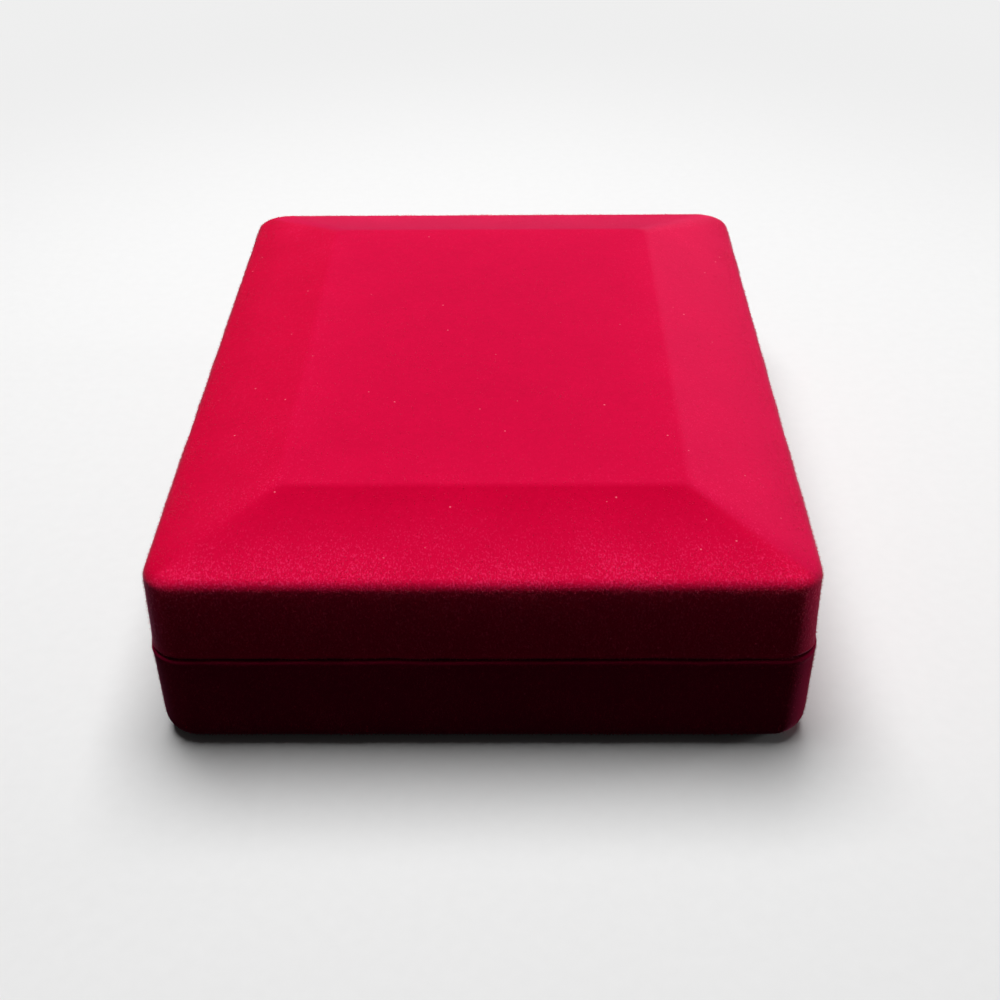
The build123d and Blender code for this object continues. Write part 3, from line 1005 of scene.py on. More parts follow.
@dataclass
class FlockedShells:
    """The moulded tub and lid with their flocked outsides, rolled rims and hipped roof."""

    plan_margin: float = 0.25
    grid: float = 1.6
    hair: float = 0.012
    lip_proud: float = 0.14
    lip_height: float = 1.6
    lip_turn: float = 25.0
    lip_fade: Triple = (0.25, 1.0, 0.125)
    rim_round: float = 0.55
    rim_flat: float = 0.9
    rim_break: float = 0.3
    rim_softness: float = 0.08
    rim_turn: float = 0.02
    tub_pile: float = 0.3
    lid_pile: float = 0.05
    wall: float = 2.2
    floor: float = 2.2
    floor_fillet: float = 0.5
    floor_border: float = 6.0
    corner_radius: float = 7.0
    least_radius: float = 1.2
    bottom_round: float = 4.5
    eave_round: float = 2.3
    panel_inset: float = 22.9
    panel_radius: float = 3.2
    panel_round: float = 6.5
    panel_border: float = 3.0
    ceiling_border: float = 4.0
    roof_rise: float = 6.2
    lid_draft: float = 1.5
    base_draft: float = 0.6
    level_step: float = 0.01
    back_depth: float = 1.0
    unevenness: Swell = Swell(0.03, 38.0)
    rim_waver: Swell = Swell(0.1, 13.0)
    rim_plump: Swell = Swell(0.05, 7.0)
    rim_fall: Fall = Fall(1.0, 1.5)
    rim_overhang: float = 0.13
    clumps: Swell = Swell(0.55, 11.0)
    roof_spread: Fall = Fall(2.5, 4.5, 0.2)
    roof_normal: float = 0.4
    roof_foot: float = 4.0
    wall_spread: Fall = Fall(1.6, 6.0, 0.6)
    wall_normal: float = 0.3
    eave_height: float = 5.0
    notches: HingeNotches = field(default_factory=HingeNotches)
    half: Array = field(init=False)

    def __post_init__(self) -> None:
        """Reads half the size of the plan from the frame."""
        low, high = node_box("lid_shell")
        self.half = (high[:2] - low[:2]) / 2 - self.plan_margin

    def lattice(self) -> Lattice:
        """The points round the shells, with a close pair at each side of a notch.

        Returns:
            The lattice.
        """
        end_x, end_y = self.half - self.corner_radius
        edges = sorted(e + s * self.hair for e in self.notches.edges() for s in (-1, 1))
        marks = [-end_x, *edges, end_x]
        places: list[float] = []
        for near, far in zip(marks[:-1], marks[1:]):
            a_pair = far - near < 3 * self.hair
            places += [near] if a_pair else spaced(near, far, self.grid)[:-1]
        return Lattice([*places, end_x], spaced(-end_y, end_y, self.grid))

    def lip(self, rim: float, away: float, pile: float) -> Outline:
        """The rolled lip as inset and level, from the rim away from the seam.

        It turns over the rim's edge in an arc, and fades into the wall by
        proud * (1 + cos(pi * s)) / 2, where s is the share of the lip's height.

        Args:
            rim: The level of the rim.
            away: One if the shell lies above the seam, minus one if below.
            pile: How far the flock stands out of the wall.

        Returns:
            Pairs of inset and level.
        """
        edge = self.rim_round
        points = [(edge * (1 - math.cos(angle)) - pile - self.lip_proud * math.cos(angle),
                   rim + away * edge * (1 - math.sin(angle)))
                  for angle in arc_steps(90, self.lip_turn, 5)]
        start = edge * (1 - math.sin(math.radians(self.lip_turn)))
        for share in spaced(*self.lip_fade):
            proud = self.lip_proud * (1 + math.cos(math.pi * share)) / 2
            level = rim + away * (start + (self.lip_height - start) * share)
            points.append((-pile - proud, level))
        return points

    def rim_top(self, rim: float, away: float) -> Outline:
        """The rim's flat and its broken inner edge, from the lip inwards.

        Args:
            rim: The level of the rim.
            away: One if the shell lies above the seam, minus one if below.

        Returns:
            Pairs of inset and level.
        """
        inner, edge, soft = self.wall, self.rim_break, self.rim_softness
        return [(self.rim_flat, rim), (inner - edge, rim), (inner - soft, rim + away * soft),
                (inner, rim + away * edge)]

    def base_sections(self, rim: float) -> list[Section]:
        """The tub's section: underside, rounded edge, wall, lip, rim, inside wall and floor.

        Args:
            rim: The level of the rim.

        Returns:
            The sections in order.
        """
        slope = math.tan(math.radians(self.base_draft))
        foot, turn = rim * slope - self.tub_pile, self.bottom_round
        points = [(foot + turn * (1 - math.cos(angle)), turn * (1 + math.sin(angle)))
                  for angle in arc_steps(-90, 0, 9)]
        lip = self.lip(rim, -1.0, self.tub_pile)[::-1]
        points += [((rim - level) * slope - self.tub_pile, float(level))
                   for level in np.linspace(turn, lip[0][1], 9)[1:-1]]
        points += lip + self.rim_top(rim, -1.0)
        inner, recess = self.wall, self.notches.foot
        points += [(inner, recess + self.level_step), (inner, recess - self.level_step),
                   (inner, self.floor + self.floor_fillet),
                   (inner + self.floor_fillet, self.floor),
                   (inner + self.floor_border, self.floor)]
        return [Section(i, z, max(self.corner_radius - i, self.least_radius)) for i, z in points]

    def lid_sections(self, rim: float, top: float) -> list[Section]:
        """The lid's section: underside of the roof, inside wall, rim, lip, skirt, eave and roof.

        Args:
            rim: The level of the lid's rim.
            top: The level of the top panel.

        Returns:
            The sections in order.
        """
        eave, head = top - self.roof_rise, self.notches.head
        slope = math.tan(math.radians(self.lid_draft))
        shift = (eave - rim) * slope
        pitch = math.atan2(self.roof_rise, self.panel_inset)
        deep = shift + self.panel_inset + self.wall * math.tan(pitch / 2)
        inner_eave = eave - self.wall / math.cos(pitch) + (self.wall - shift) * math.tan(pitch)
        walls = [(self.wall, level)
                 for level in (inner_eave, head + self.level_step, head - self.level_step)]
        rim_top = self.rim_top(rim, 1.0)[::-1]
        walls += rim_top + self.lip(rim, 1.0, self.lid_pile)
        arc = self.eave_arc(eave, shift, pitch)
        skirt_top = arc[0][1]
        for level in np.linspace(rim + self.lip_height, skirt_top, 8)[1:]:
            fade = (skirt_top - level) / (skirt_top - rim)
            walls.append(((level - rim) * slope - self.lid_pile * fade, float(level)))
        edge, turn = shift + self.panel_inset, self.panel_round
        reach = turn * math.tan(pitch / 2)
        roof = [(float(inset), eave + (inset - shift) * math.tan(pitch))
                for inset in np.linspace(arc[-1][0], edge - reach * math.cos(pitch), 12)[1:]]
        roof += [(edge + reach - turn * math.sin(angle), top - turn + turn * math.cos(angle))
                 for angle in np.linspace(pitch, 0.0, 7)[1:]]
        return [
            Section(deep + self.ceiling_border, top - self.wall, self.panel_radius),
            Section(deep, top - self.wall, self.panel_radius),
            *(Section(i, z, self.corner_radius - i + self.rim_turn * ((i, z) == rim_top[1]))
              for i, z in walls),
            *(Section(i, z, self.corner_radius - shift) for i, z in arc[1:]),
            *(Section(i, z, self.roof_radius(i, shift)) for i, z in roof),
            Section(edge + reach + self.panel_border, top, self.panel_radius + 1.0),
        ]

    def roof_radius(self, inset: float, shift: float) -> float:
        """The corner radius on the roof, which tightens evenly from the eave to the panel."""
        share = min(max((inset - shift) / self.panel_inset, 0.0), 1.0)
        return (self.corner_radius - shift) * (1 - share) + self.panel_radius * share

    def eave_arc(self, eave: float, shift: float, pitch: float) -> Outline:
        """The rounded eave as inset and level.

        The arc touches the skirt and the roof: its centre is one radius from both.

        Args:
            eave: The level of the unrounded eave.
            shift: How far the eave is drawn in from the rim.
            pitch: The roof's slope in radians.

        Returns:
            The arc's points, from the skirt to the roof.
        """
        draft, radius = math.radians(self.lid_draft), self.eave_round
        reach = radius * math.tan((math.pi / 2 - draft - pitch) / 2)
        inset = shift - reach * math.sin(draft) + radius * math.cos(draft)
        level = eave - reach * math.cos(draft) - radius * math.sin(draft)
        return [(inset - radius * math.cos(angle), level + radius * math.sin(angle))
                for angle in np.linspace(draft, math.pi / 2 - pitch, 9)]

    def cut_notches(self, loops: Array, away: float) -> Array:
        """The walls with the rims cut down at the hinges, and let in behind their leaves.

        Args:
            loops: The walls' points.
            away: One for the lid, which lies above the seam, minus one for the tub.

        Returns:
            The changed points.
        """
        cut, notches = loops.copy(), self.notches
        level, end = ((notches.roof, notches.head) if away > 0
                      else (notches.floor, notches.foot))
        notched = notches.inside(loops, self.half[1] - self.wall - self.back_depth)
        beyond = notched & ((cut[..., 2] - level) * away < 0)
        cut[..., 2] = np.where(beyond, level, cut[..., 2])
        cut[..., 1] = np.where(beyond & (cut[..., 1] > self.half[1]), self.half[1], cut[..., 1])
        behind = notched & ((cut[..., 2] - end) * away < 0) & (cut[..., 1] < notches.face)
        cut[..., 1] = np.where(behind, notches.face, cut[..., 1])
        return cut

    def uneven(self, form: RoundedForm, rim: float, seed: int) -> Array:
        """The walls of a form with the slow unevenness of a flocked moulding.

        A point moves outwards by a swell of the wall and one of the rim, and up by another one
        of the rim, which fade as exp(-(distance from the rim / reach) ** 2).

        Args:
            form: The form.
            rim: The level of its rim.
            seed: The first of three seeds.

        Returns:
            The changed points of its walls.
        """
        loops, out = form.loops(), form.lattice.ring()[1]
        outer = np.array([s.inset < self.wall / 2 or s.level > rim + 2 * self.wall
                          for s in form.sections])[:, None]
        near = self.rim_fall.at(loops[..., 2] - rim)
        wave = self.unevenness.at(loops, seed) * outer
        lift = self.rim_waver.at(loops[..., :2], seed + 1) * near
        plump = self.rim_plump.at(loops[..., :2], seed + 2) * near * outer
        loops[..., :2] += out[None] * (wave + plump)[..., None]
        loops[..., 2] += lift
        return loops

    def build(self, name: str, body: Body) -> Piece:
        """Builds the tub or the lid.

        Args:
            name: The piece's name.
            body: The base for the tub, or the lid.

        Returns:
            The piece.
        """
        low, high = node_box(body.value + "_shell")
        if body is Body.LID:
            rim, away, seed = low[2] - self.rim_overhang, 1.0, 6
            sections = self.lid_sections(rim, high[2])
        else:
            rim, away, seed = high[2] + self.rim_overhang, -1.0, 3
            sections = self.base_sections(rim)
        form = RoundedForm(self.half, self.lattice(), sections)
        loops = self.cut_notches(self.uneven(form, rim, seed), away)
        shell = make_piece(name, *form.mesh(loops), sharp=CREASE)
        self.painted_light().comb(shell, body is Body.LID)
        return shell

    def upward(self, middle: Array, normal: Array) -> Array:
        """Which triangles, from their middles and normals, lie on the roof."""
        foot = self.notches.head + self.roof_foot
        return (normal[:, 2] > self.roof_normal) & (middle[:, 2] > foot)

    def past(self, middle: Array) -> Array:
        """How far points lie outside the plan, less than zero where they lie inside."""
        return (np.abs(middle[:, :2]) - self.half).max(axis=1)

    def on_roof(self, middle: Array, normal: Array) -> Array:
        """How densely fibres stand on the roof, by the distance in from the eave.

        Args:
            middle: The middles of triangles.
            normal: Their normals.

        Returns:
            The density on each.
        """
        density = self.roof_spread.at(self.past(middle))
        return self.upward(middle, normal) * np.exp(self.clumps.at(middle, 71)) * density

    def on_walls(self, middle: Array, normal: Array) -> Array:
        """How densely fibres stand on the outer walls, by the distance below the eave.

        Args:
            middle: The middles of triangles.
            normal: Their normals.

        Returns:
            The density on each.
        """
        facing = (np.sign(middle[:, :2]) * normal[:, :2]).sum(axis=1) > self.wall_normal
        walls = facing & (self.past(middle) > -self.wall / 2) & ~self.upward(middle, normal)
        below = np.maximum(self.notches.head + self.eave_height - middle[:, 2], 0.0)
        return walls * np.exp(self.clumps.at(middle, 71)) * self.wall_spread.at(below)

    def painted_light(self) -> PaintedLight:
        """The painted highlight, shade and sheen of both shells.

        Returns:
            The painted light.
        """
        low, high = node_box("lid_shell")
        eave, rim = high[2] - self.roof_rise, low[2]
        edge = self.panel_inset + (eave - rim) * math.tan(math.radians(self.lid_draft))
        return PaintedLight(self.half, eave, rim, edge, self.eave_round / 2)


@dataclass
class Linings:
    """The velvet collar in the tub and the satin strip in the lid, each cloth glued round card."""

    thickness: float = 1.4
    corner_radius: float = 4.45
    least_radius: float = 1.5
    edge_round: float = 0.62
    grid: float = 2.0
    level_grid: float = 2.4
    waver: Swell = Swell(0.05, 17.0)
    seam: Fall = Fall(0.28, 0.22)
    seam_reach: float = 0.9
    seam_grid: float = 0.15

    def lattice(self, half: Array) -> Lattice:
        """The points round a strip, with close ones at the butt seam in the middle of the back.

        Args:
            half: Half the strip's size along X and Y.

        Returns:
            The lattice.
        """
        end_x, end_y = half - self.corner_radius
        near = self.seam_reach
        along = (spaced(-end_x, -near, self.grid)[:-1] + spaced(-near, near, self.seam_grid)[:-1]
                 + spaced(near, end_x, self.grid))
        return Lattice(along, spaced(-end_y, end_y, self.grid))

    def sections(self, low: float, high: float) -> list[Section]:
        """The strip's section, a flat bar with rounded edges: outside up, inside down.

        A point of an edge is centre + round * (-cos(angle), sin(angle)), where the angle goes on
        by a quarter turn from one edge to the next.

        Args:
            low: The level of its lower edge.
            high: The level of its upper edge.

        Returns:
            The sections in order, the last of which joins the first.
        """
        turn, deep = self.edge_round, self.thickness
        bottom, top = low + turn, high - turn
        centres = [(turn, top), (deep - turn, top), (deep - turn, bottom), (turn, bottom)]
        edges = [[(x - turn * math.cos(angle), z + turn * math.sin(angle))
                  for angle in arc_steps(90 * quarter, 90 * quarter + 90, 6)]
                 for quarter, (x, z) in enumerate(centres)]
        outside = [(0.0, level) for level in spaced(bottom, top, self.level_grid)]
        inside = [(deep, level) for level in spaced(top, bottom, self.level_grid)]
        points = outside + edges[0][1:] + edges[1] + inside[1:] + edges[2][1:] + edges[3][:-1]
        return [Section(i, z, max(self.corner_radius - i, self.least_radius)) for i, z in points]

    def build(self, name: str, node: str, seed: int) -> Piece:
        """Builds one strip in the place of its node.

        The cloth wavers by a slow swell, and dips at the butt seam.

        Args:
            name: The piece's name.
            node: The node that it stands for.
            seed: Which unevenness it has.

        Returns:
            The piece.
        """
        low, high = node_box(node)
        half = (high[:2] - low[:2]) / 2
        form = RoundedForm(half, self.lattice(half), self.sections(low[2], high[2]))
        loops, out = form.loops(), form.lattice.ring()[1]
        inner = np.array([s.inset > self.thickness / 2 for s in form.sections])[:, None]
        wave = self.waver.at(loops, seed)
        seam = self.seam.at(loops[..., 0]) * (loops[..., 1] > 0)
        shift = np.where(inner, wave + seam, -np.abs(wave) / 2)
        loops[..., :2] += out[None] * shift[..., None]
        faces = grid_faces(*loops.shape[:2], closed=True, ring=True)
        return make_piece(name, loops.reshape(-1, 3), faces, CREASE)


@dataclass(frozen=True)
class ClothPuff:
    """How a cover is blown up by the cloth solver."""

    pressure: float
    growth: float
    reach: float
    frames: int = 24
    quality: int = 8
    mass: float = 0.3
    tension: float = 12.0
    shear: float = 4.8
    bending: float = 0.35
    damping: float = 2.0

    def run(self, piece: Piece, held: Array) -> None:
        """Blows up a piece and applies the result.

        Each point ends at start + d * min(1, reach / |d|), where d is how far the solver took it.

        Args:
            piece: The piece.
            held: Which of its points are held.
        """
        group = piece.vertex_groups.new(name="held")
        group.add(np.nonzero(held)[0].tolist(), 1.0, "REPLACE")
        cloth = piece.modifiers.new("puff", "CLOTH")
        rules = cloth.settings
        rules.quality = self.quality
        rules.mass = self.mass
        rules.tension_stiffness = self.tension
        rules.compression_stiffness = self.tension
        rules.shear_stiffness = self.shear
        rules.bending_stiffness = self.bending
        rules.air_damping = self.damping
        rules.use_pressure = True
        rules.uniform_pressure_force = self.pressure
        rules.shrink_min = -self.growth
        rules.vertex_group_mass = group.name
        rules.effector_weights.gravity = 0.0
        cloth.collision_settings.use_collision = False
        cloth.point_cache.frame_start = 1
        cloth.point_cache.frame_end = self.frames
        scene = bpy.context.scene
        for step in range(1, self.frames + 1):
            scene.frame_set(step)
        evaluated = piece.evaluated_get(bpy.context.evaluated_depsgraph_get())
        start = points_of(piece.data)
        moved = points_of(evaluated.data) - start
        piece.modifiers.remove(cloth)
        scene.frame_set(1)
        piece.vertex_groups.clear()
        length = np.linalg.norm(moved, axis=1, keepdims=True)
        moved = moved * np.minimum(1.0, self.reach * MM / np.maximum(length, TINY))
        piece.data.vertices.foreach_set("co", (start + moved).astype(np.float32).ravel())
        piece.data.update()
        LOG.info("%s: swelled by %.2f mm, up to %.2f mm", piece.name,
                 float(np.median(length)) / MM, float(length.max()) / MM)


def smoothed(piece: Piece) -> None:
    """Applies one level of subdivision, the same in view and in render.

    Args:
        piece: The piece.
    """
    refine = piece.modifiers.new("smooth", "SUBSURF")
    refine.levels = 1
    refine.render_levels = 1
    solved = piece.evaluated_get(bpy.context.evaluated_depsgraph_get())
    mesh = bpy.data.meshes.new_from_object(solved)
    piece.modifiers.remove(refine)
    old = piece.data
    name = old.name
    piece.data = mesh
    bpy.data.meshes.remove(old)
    mesh.name = name
    mesh.shade_smooth()


@dataclass
class LidPad:
    """The puffed satin pad in the lid, gathered along its edge by the card behind it."""

    corner_radius: float = 5.0
    radius_growth: float = 0.25
    start_inset: float = 0.5
    tuck_insets: Triple = (2.2, 0.9, 0.35)
    tuck_share: float = 0.25
    side_share: float = 0.45
    shoulder: float = 2.0
    shoulder_share: float = 0.6
    crown_share: float = 0.8
    crown_reach: float = 18.0
    crown_shares: tuple[float, ...] = (0.16, 0.3, 0.5, 0.75, 1.0)
    puff_room: float = 0.9
    held_depth: float = 0.7
    grid: float = 1.7
    gather: Swell = Swell(0.45, 7.5)
    gather_fall: Fall = Fall(1.0, 11.0)
    gather_seeds: tuple[int, int] = (61, 62)
    sides_apart: float = 400.0
    puff: ClothPuff = ClothPuff(pressure=8.0, growth=0.03, reach=1.6)

    def sections(self, back: float, face: float) -> list[Section]:
        """The pad's section from the card, at the back level, down to the face level.

        The side bulges as a quarter ellipse, and the crown rises to the face by
        1 - (1 - s) ** 2, where s is the share of the way in.

        Args:
            back: The level of the card.
            face: The level of the pad's face.

        Returns:
            The sections in order.
        """
        depth = back - face
        side = depth * self.side_share
        levels = (back, back, back - self.tuck_share * side)
        points = [*zip(self.tuck_insets, levels), (0.0, back - side)]
        below = self.shoulder_share * (depth - side)
        points += [(self.shoulder * (1 - math.cos(angle)), back - side - below * math.sin(angle))
                   for angle in arc_steps(18, 72, 4)]
        for share in self.crown_shares:
            rise = self.crown_share + (1 - self.crown_share) * (1 - (1 - share) ** 2)
            points.append((self.crown_reach * share, back - depth * rise))
        return [Section(self.start_inset + i, z, self.corner_radius + self.radius_growth * i)
                for i, z in points]

    def gathers(self, points: Array, half: Array) -> Array:
        """How far the cloth is drawn back towards the card by the gathers along its edge.

        A gather runs square to the edge, and fades as exp(-(distance from the edge / reach) ** 2)
        and towards the corners. Those of opposite sides are read far apart, so that they differ.

        Args:
            points: Points of the pad.
            half: Half its length and width.

        Returns:
            One height for each point.
        """
        total = np.zeros(points.shape[:-1])
        room = half - np.abs(points[..., :2])
        for along, seed in enumerate(self.gather_seeds):
            across = 1 - along
            read = points[..., along] + np.sign(points[..., across]) * self.sides_apart
            clear = np.clip(room[..., along] / self.gather_fall.reach, 0, 1)
            total += (self.gather.at(read[..., None], seed)
                      * self.gather_fall.at(room[..., across]) * clear)
        return total

    def build(self) -> Piece:
        """Builds the pad.

        Returns:
            The piece.
        """
        low, high = node_box("lid_pad_cover")
        half = (high[:2] - low[:2]) / 2
        places = (spaced(-end, end, self.grid) for end in half - self.corner_radius)
        lattice = Lattice(*places, corner_steps=10)
        form = RoundedForm(half, lattice, self.sections(high[2], low[2] + self.puff_room))
        vertices, faces = form.mesh(form.loops())
        free = np.clip((high[2] - vertices[:, 2]) / (high[2] - low[2]), 0, 1)
        vertices[:, 2] += free * self.gathers(vertices, half)
        pad = make_piece("lid_satin_pad", vertices, faces[:, ::-1])
        self.puff.run(pad, points_of(pad.data)[:, 2] / MM > high[2] - self.held_depth)
        smoothed(pad)
        return pad


@dataclass(frozen=True)
class Slit:
    """A cut in the insert's cover, and how far round it the grid is fine along X and Y."""

    middle: Pair
    half_length: float
    half_width: float
    depth: float
    turn: float
    reach: Pair
    grid: Pair
    end_sharpness: float = 2.0
    softness: float = 0.09
    pull: Fall = Fall(0.65, 2.1)

    def dip(self, plan: Array) -> Array:
        """How deep the cover lies at some points.

        The cut itself is depth / (1 + exp((d - w) / soft)), written with a tanh, where d is the
        distance from it and w half its width. Past its ends the distance grows faster. The cover
        is drawn in round it.

        Args:
            plan: The points, in millimetres.

        Returns:
            The depth at each point.
        """
        shift = plan - np.array(self.middle)
        cos, sin = math.cos(self.turn), math.sin(self.turn)
        along = np.abs(shift[..., 0] * cos + shift[..., 1] * sin)
        across = np.abs(-shift[..., 0] * sin + shift[..., 1] * cos)
        past = np.maximum(along - self.half_length, 0.0)
        distance = np.hypot(past * self.end_sharpness, across)
        cut = (1 - np.tanh((distance - self.half_width) / (2 * self.softness))) / 2
        return self.depth * cut + self.pull.at(distance)


@dataclass
class InsertPad:
    """The velvet display pad with its ring pocket, earring slits and tab slits."""

    corner_radius: float = 4.0
    corner_softness: float = 0.4226
    crown_reach: float = 30.15
    foot_height: float = 1.2
    foot_inset: float = 0.9
    foot_border: float = 2.0
    foot_power: float = 1.6
    side_share: float = 0.55
    edge_power: float = 8.0
    height_power: float = 2.2
    cap_share: float = 0.045
    grid: float = 1.5
    unevenness: Swell = Swell(0.10, 21.0)
    even_border: float = 8.0
    pocket_gap: float = 0.3
    pocket_floor: float = 1.0
    pocket_draw: Fall = Fall(0.7, 1.3)
    pocket_reach: float = 1.0
    pocket_grid: float = 0.24
    earring_start: float = 42.0
    earring_spacing: float = 16.0
    earring_clear: float = 3.0
    earring_half: float = 3.5
    tab_slit_reach: float = 7.1
    pocket: tuple[Array, Array] = field(init=False)
    slits: list[Slit] = field(init=False)
    low: Array = field(init=False)
    high: Array = field(init=False)

    def __post_init__(self) -> None:
        """Reads where the pad, the ring rolls and the tabs are, and places the cuts."""
        self.low, self.high = node_box("insert_cover")
        front, rear = node_box("ring_roll_front"), node_box("ring_roll_rear")
        self.pocket = (front[0][:2] - self.pocket_gap, rear[1][:2] + self.pocket_gap)
        x = front[1][0] + self.earring_clear + self.earring_half
        y = self.low[1] + self.earring_start
        earring = Slit((x, y), self.earring_half, half_width=0.42, depth=6.0, turn=0.0,
                       reach=(self.earring_half + 0.9, 1.6), grid=(0.5, 0.25))
        self.slits = [replace(earring, middle=(side * x, y + shift))
                      for side in (-1, 1) for shift in (0.0, self.earring_spacing)]
        shift = self.tab_slit_reach * math.cos(math.pi / 4)
        for side, name in zip((-1, 1), SIDES):
            low, high = node_box("necklace_tab_" + name)
            middle = (low + high) / 2
            self.slits += [
                Slit((middle[0] + side * end * shift, middle[1] - end * shift), 3.3,
                     half_width=0.5, depth=3.6, turn=side * math.pi / 4, reach=(3.6, 3.6),
                     grid=(0.33, 0.33)) for end in (-1, 1)]

    def height(self, inset: Array | float) -> Array:
        """The share of the pad's height at a distance in from its widest outline.

        It is side + (1 - side) * (1 - (1 - s) ** a) ** (1 / b), where s is the distance as a
        share of the way to the crown.

        Args:
            inset: The distance in millimetres.

        Returns:
            The share.
        """
        share = np.clip(np.asarray(inset, float) / self.crown_reach, 0.0, 1.0)
        rise = (1 - (1 - share) ** self.edge_power) ** (1 / self.height_power)
        return self.side_share + (1 - self.side_share) * rise

    def lines(self, half: float, marks: Sequence[Triple]) -> list[float]:
        """Places along one axis, closer together inside some stretches.

        Args:
            half: Half the length of the straight side.
            marks: Stretches as start, end and step.

        Returns:
            The places, from low to high.
        """
        edges = {-half, half}
        for start, end, _ in marks:
            edges |= {max(start, -half), min(end, half)}
        edges = sorted(edges)
        places = []
        for start, end in zip(edges[:-1], edges[1:]):
            middle = (start + end) / 2
            steps = [step for low, high, step in marks if low <= middle <= high]
            places += spaced(start, end, min([self.grid, *steps]))[:-1]
        return places + [half]

    def lattice(self, half: Array) -> Lattice:
        """The points round the pad, close together where it is cut.

        Args:
            half: Half its size along X and Y.

        Returns:
            The lattice.
        """
        places = []
        for axis, end in enumerate(half - self.corner_radius):
            near = self.pocket_reach
            marks = [(edge[axis] - near, edge[axis] + near, self.pocket_grid)
                     for edge in self.pocket]
            marks += [(s.middle[axis] - s.reach[axis], s.middle[axis] + s.reach[axis],
                       s.grid[axis]) for s in self.slits]
            places.append(self.lines(float(end), marks))
        return Lattice(*places)

    def surface(self, span: Array, half: Array, low: float, high: float) -> Array:
        """The top of the pad: its crown, the pocket for the ring rolls and the slits.

        The distance in from the outline is a soft least of the distances to both sides,
        -k * log(exp(-dx / k) + exp(-dy / k)), which rounds it at the corners.

        Args:
            span: The flat grid.
            half: Half of the pad's size along X and Y.
            low: The level of the pad's foot.
            high: The level of its crown.

        Returns:
            The grid with its heights.
        """
        plan = span[..., :2]
        room = half - np.abs(plan)
        soft = self.corner_softness * self.corner_radius
        inset = -soft * np.log(np.exp(-room / soft).sum(-1))
        level = low + (high - low) * self.height(np.maximum(inset, 0.0))
        level = level + (self.unevenness.at(plan, seed=11)
                         * np.clip(inset / self.even_border, 0.0, 1.0))
        outside = np.maximum(self.pocket[0] - plan, plan - self.pocket[1]).max(axis=-1)
        level = level - self.pocket_draw.at(np.maximum(outside, 0.0))
        for slit in self.slits:
            level = level - slit.dip(plan)
        floor = low + self.pocket_floor
        level = np.where(outside < 0.0, floor, np.maximum(level, floor))
        return np.concatenate([plan, level[..., None]], axis=-1)

    def build(self) -> Piece:
        """Builds the pad.

        Returns:
            The piece.
        """
        low, high = self.low[2] + self.foot_height, self.high[2]
        half = (self.high[:2] - self.low[:2]) / 2
        tall, foot = high - low, self.foot_inset
        points = [(foot + self.foot_border, low), (foot, low)]
        points += [(foot * (1 - share) ** self.foot_power, low + tall * self.side_share * share)
                   for share in spaced(0.0, 1.0, 0.2)[1:]]
        cap = self.cap_share * self.crown_reach
        insets = [cap * (1 - math.cos(angle)) for angle in arc_steps(0, 90, 7)[1:]]
        points += [(inset, low + tall * float(self.height(inset))) for inset in insets]
        sections = [Section(i, z, self.corner_radius) for i, z in points]
        form = RoundedForm(half, self.lattice(half), sections)
        loops = form.loops()
        span = self.surface(form.span(loops[-1]), half, low, high)
        return make_piece("insert_pad", *form.mesh(loops, span))


@dataclass
class RingRolls:
    """The padded rolls of the ring slot: bars with rounded backs and softly gathered ends."""

    corner_radius: float = 2.6
    radius_share: float = 0.55
    least_radius: float = 0.35
    foot: tuple[Pair, ...] = ((0.9, 0.0), (0.35, 0.3), (0.12, 1.2))
    side_start: float = 3.0
    side_grid: float = 1.2
    crown: float = 3.3
    crown_end: float = 78.0
    crown_slack: float = 0.03
    ridge_power: int = 2
    end_power: int = 6
    fold: float = 0.10
    fold_period: float = 3.1
    fold_start: float = 40.0
    fold_reach: float = 5.0
    fold_stray: Swell = Swell(1.0, 9.0)
    waver: Swell = Swell(0.05, 11.0)

    def build(self, name: str, node: str, seed: int) -> Piece:
        """Builds one roll.

        Its top closes with crown * (1 - |y| ** a) * (1 - |x| ** b), both as shares of the way to
        the edge. The folds at its ends are fold * cos(2 pi * x / period + swell), and grow as the
        square of the share of the way out to the end.

        Args:
            name: The piece's name.
            node: The node that it stands for.
            seed: Which unevenness it has.

        Returns:
            The piece.
        """
        low, high = node_box(node)
        half, middle = (high - low) / 2, (high + low) / 2
        points = [(inset, low[2] + level) for inset, level in self.foot]
        shoulder = high[2] - self.crown
        points += [(0.0, z) for z in spaced(low[2] + self.side_start, shoulder, self.side_grid)]
        points += [(self.crown * (1 - math.cos(angle)), shoulder + self.crown * math.sin(angle))
                   for angle in arc_steps(0, self.crown_end, 9)[1:]]
        sections = [Section(i, z, max(self.corner_radius - self.radius_share * i,
                                      self.least_radius)) for i, z in points]
        lattice = Lattice(np.linspace(-1, 1, 41), np.linspace(-1, 1, 7), 8)
        form = RoundedForm(half[:2], lattice, sections, middle[:2])
        loops = form.loops()
        span = form.span(loops[-1])
        inset, level = points[-1]
        share = np.clip(np.abs(span[..., :2] - (0.0, middle[1])) / (half[:2] - inset), 0, 1)
        ridge, ends = 1 - share[..., 1] ** self.ridge_power, 1 - share[..., 0] ** self.end_power
        span[..., 2] += (high[2] - level - self.crown_slack) * ridge * ends
        for part in (loops, span):
            phase = ((part[..., 0] + self.fold_start) * 2 * math.pi / self.fold_period
                     + self.fold_stray.at(part, seed))
            out = np.abs(part[..., 0]) - half[0] + self.fold_reach
            folds = self.fold * np.cos(phase) * np.clip(out / self.fold_reach, 0.0, 1.0) ** 2
            part[..., 2] += np.where(part[..., 2] > middle[2], folds, 0.0)
            part[..., 1] += self.waver.at(part, seed + 1)
        return make_piece(name, *form.mesh(loops, span))


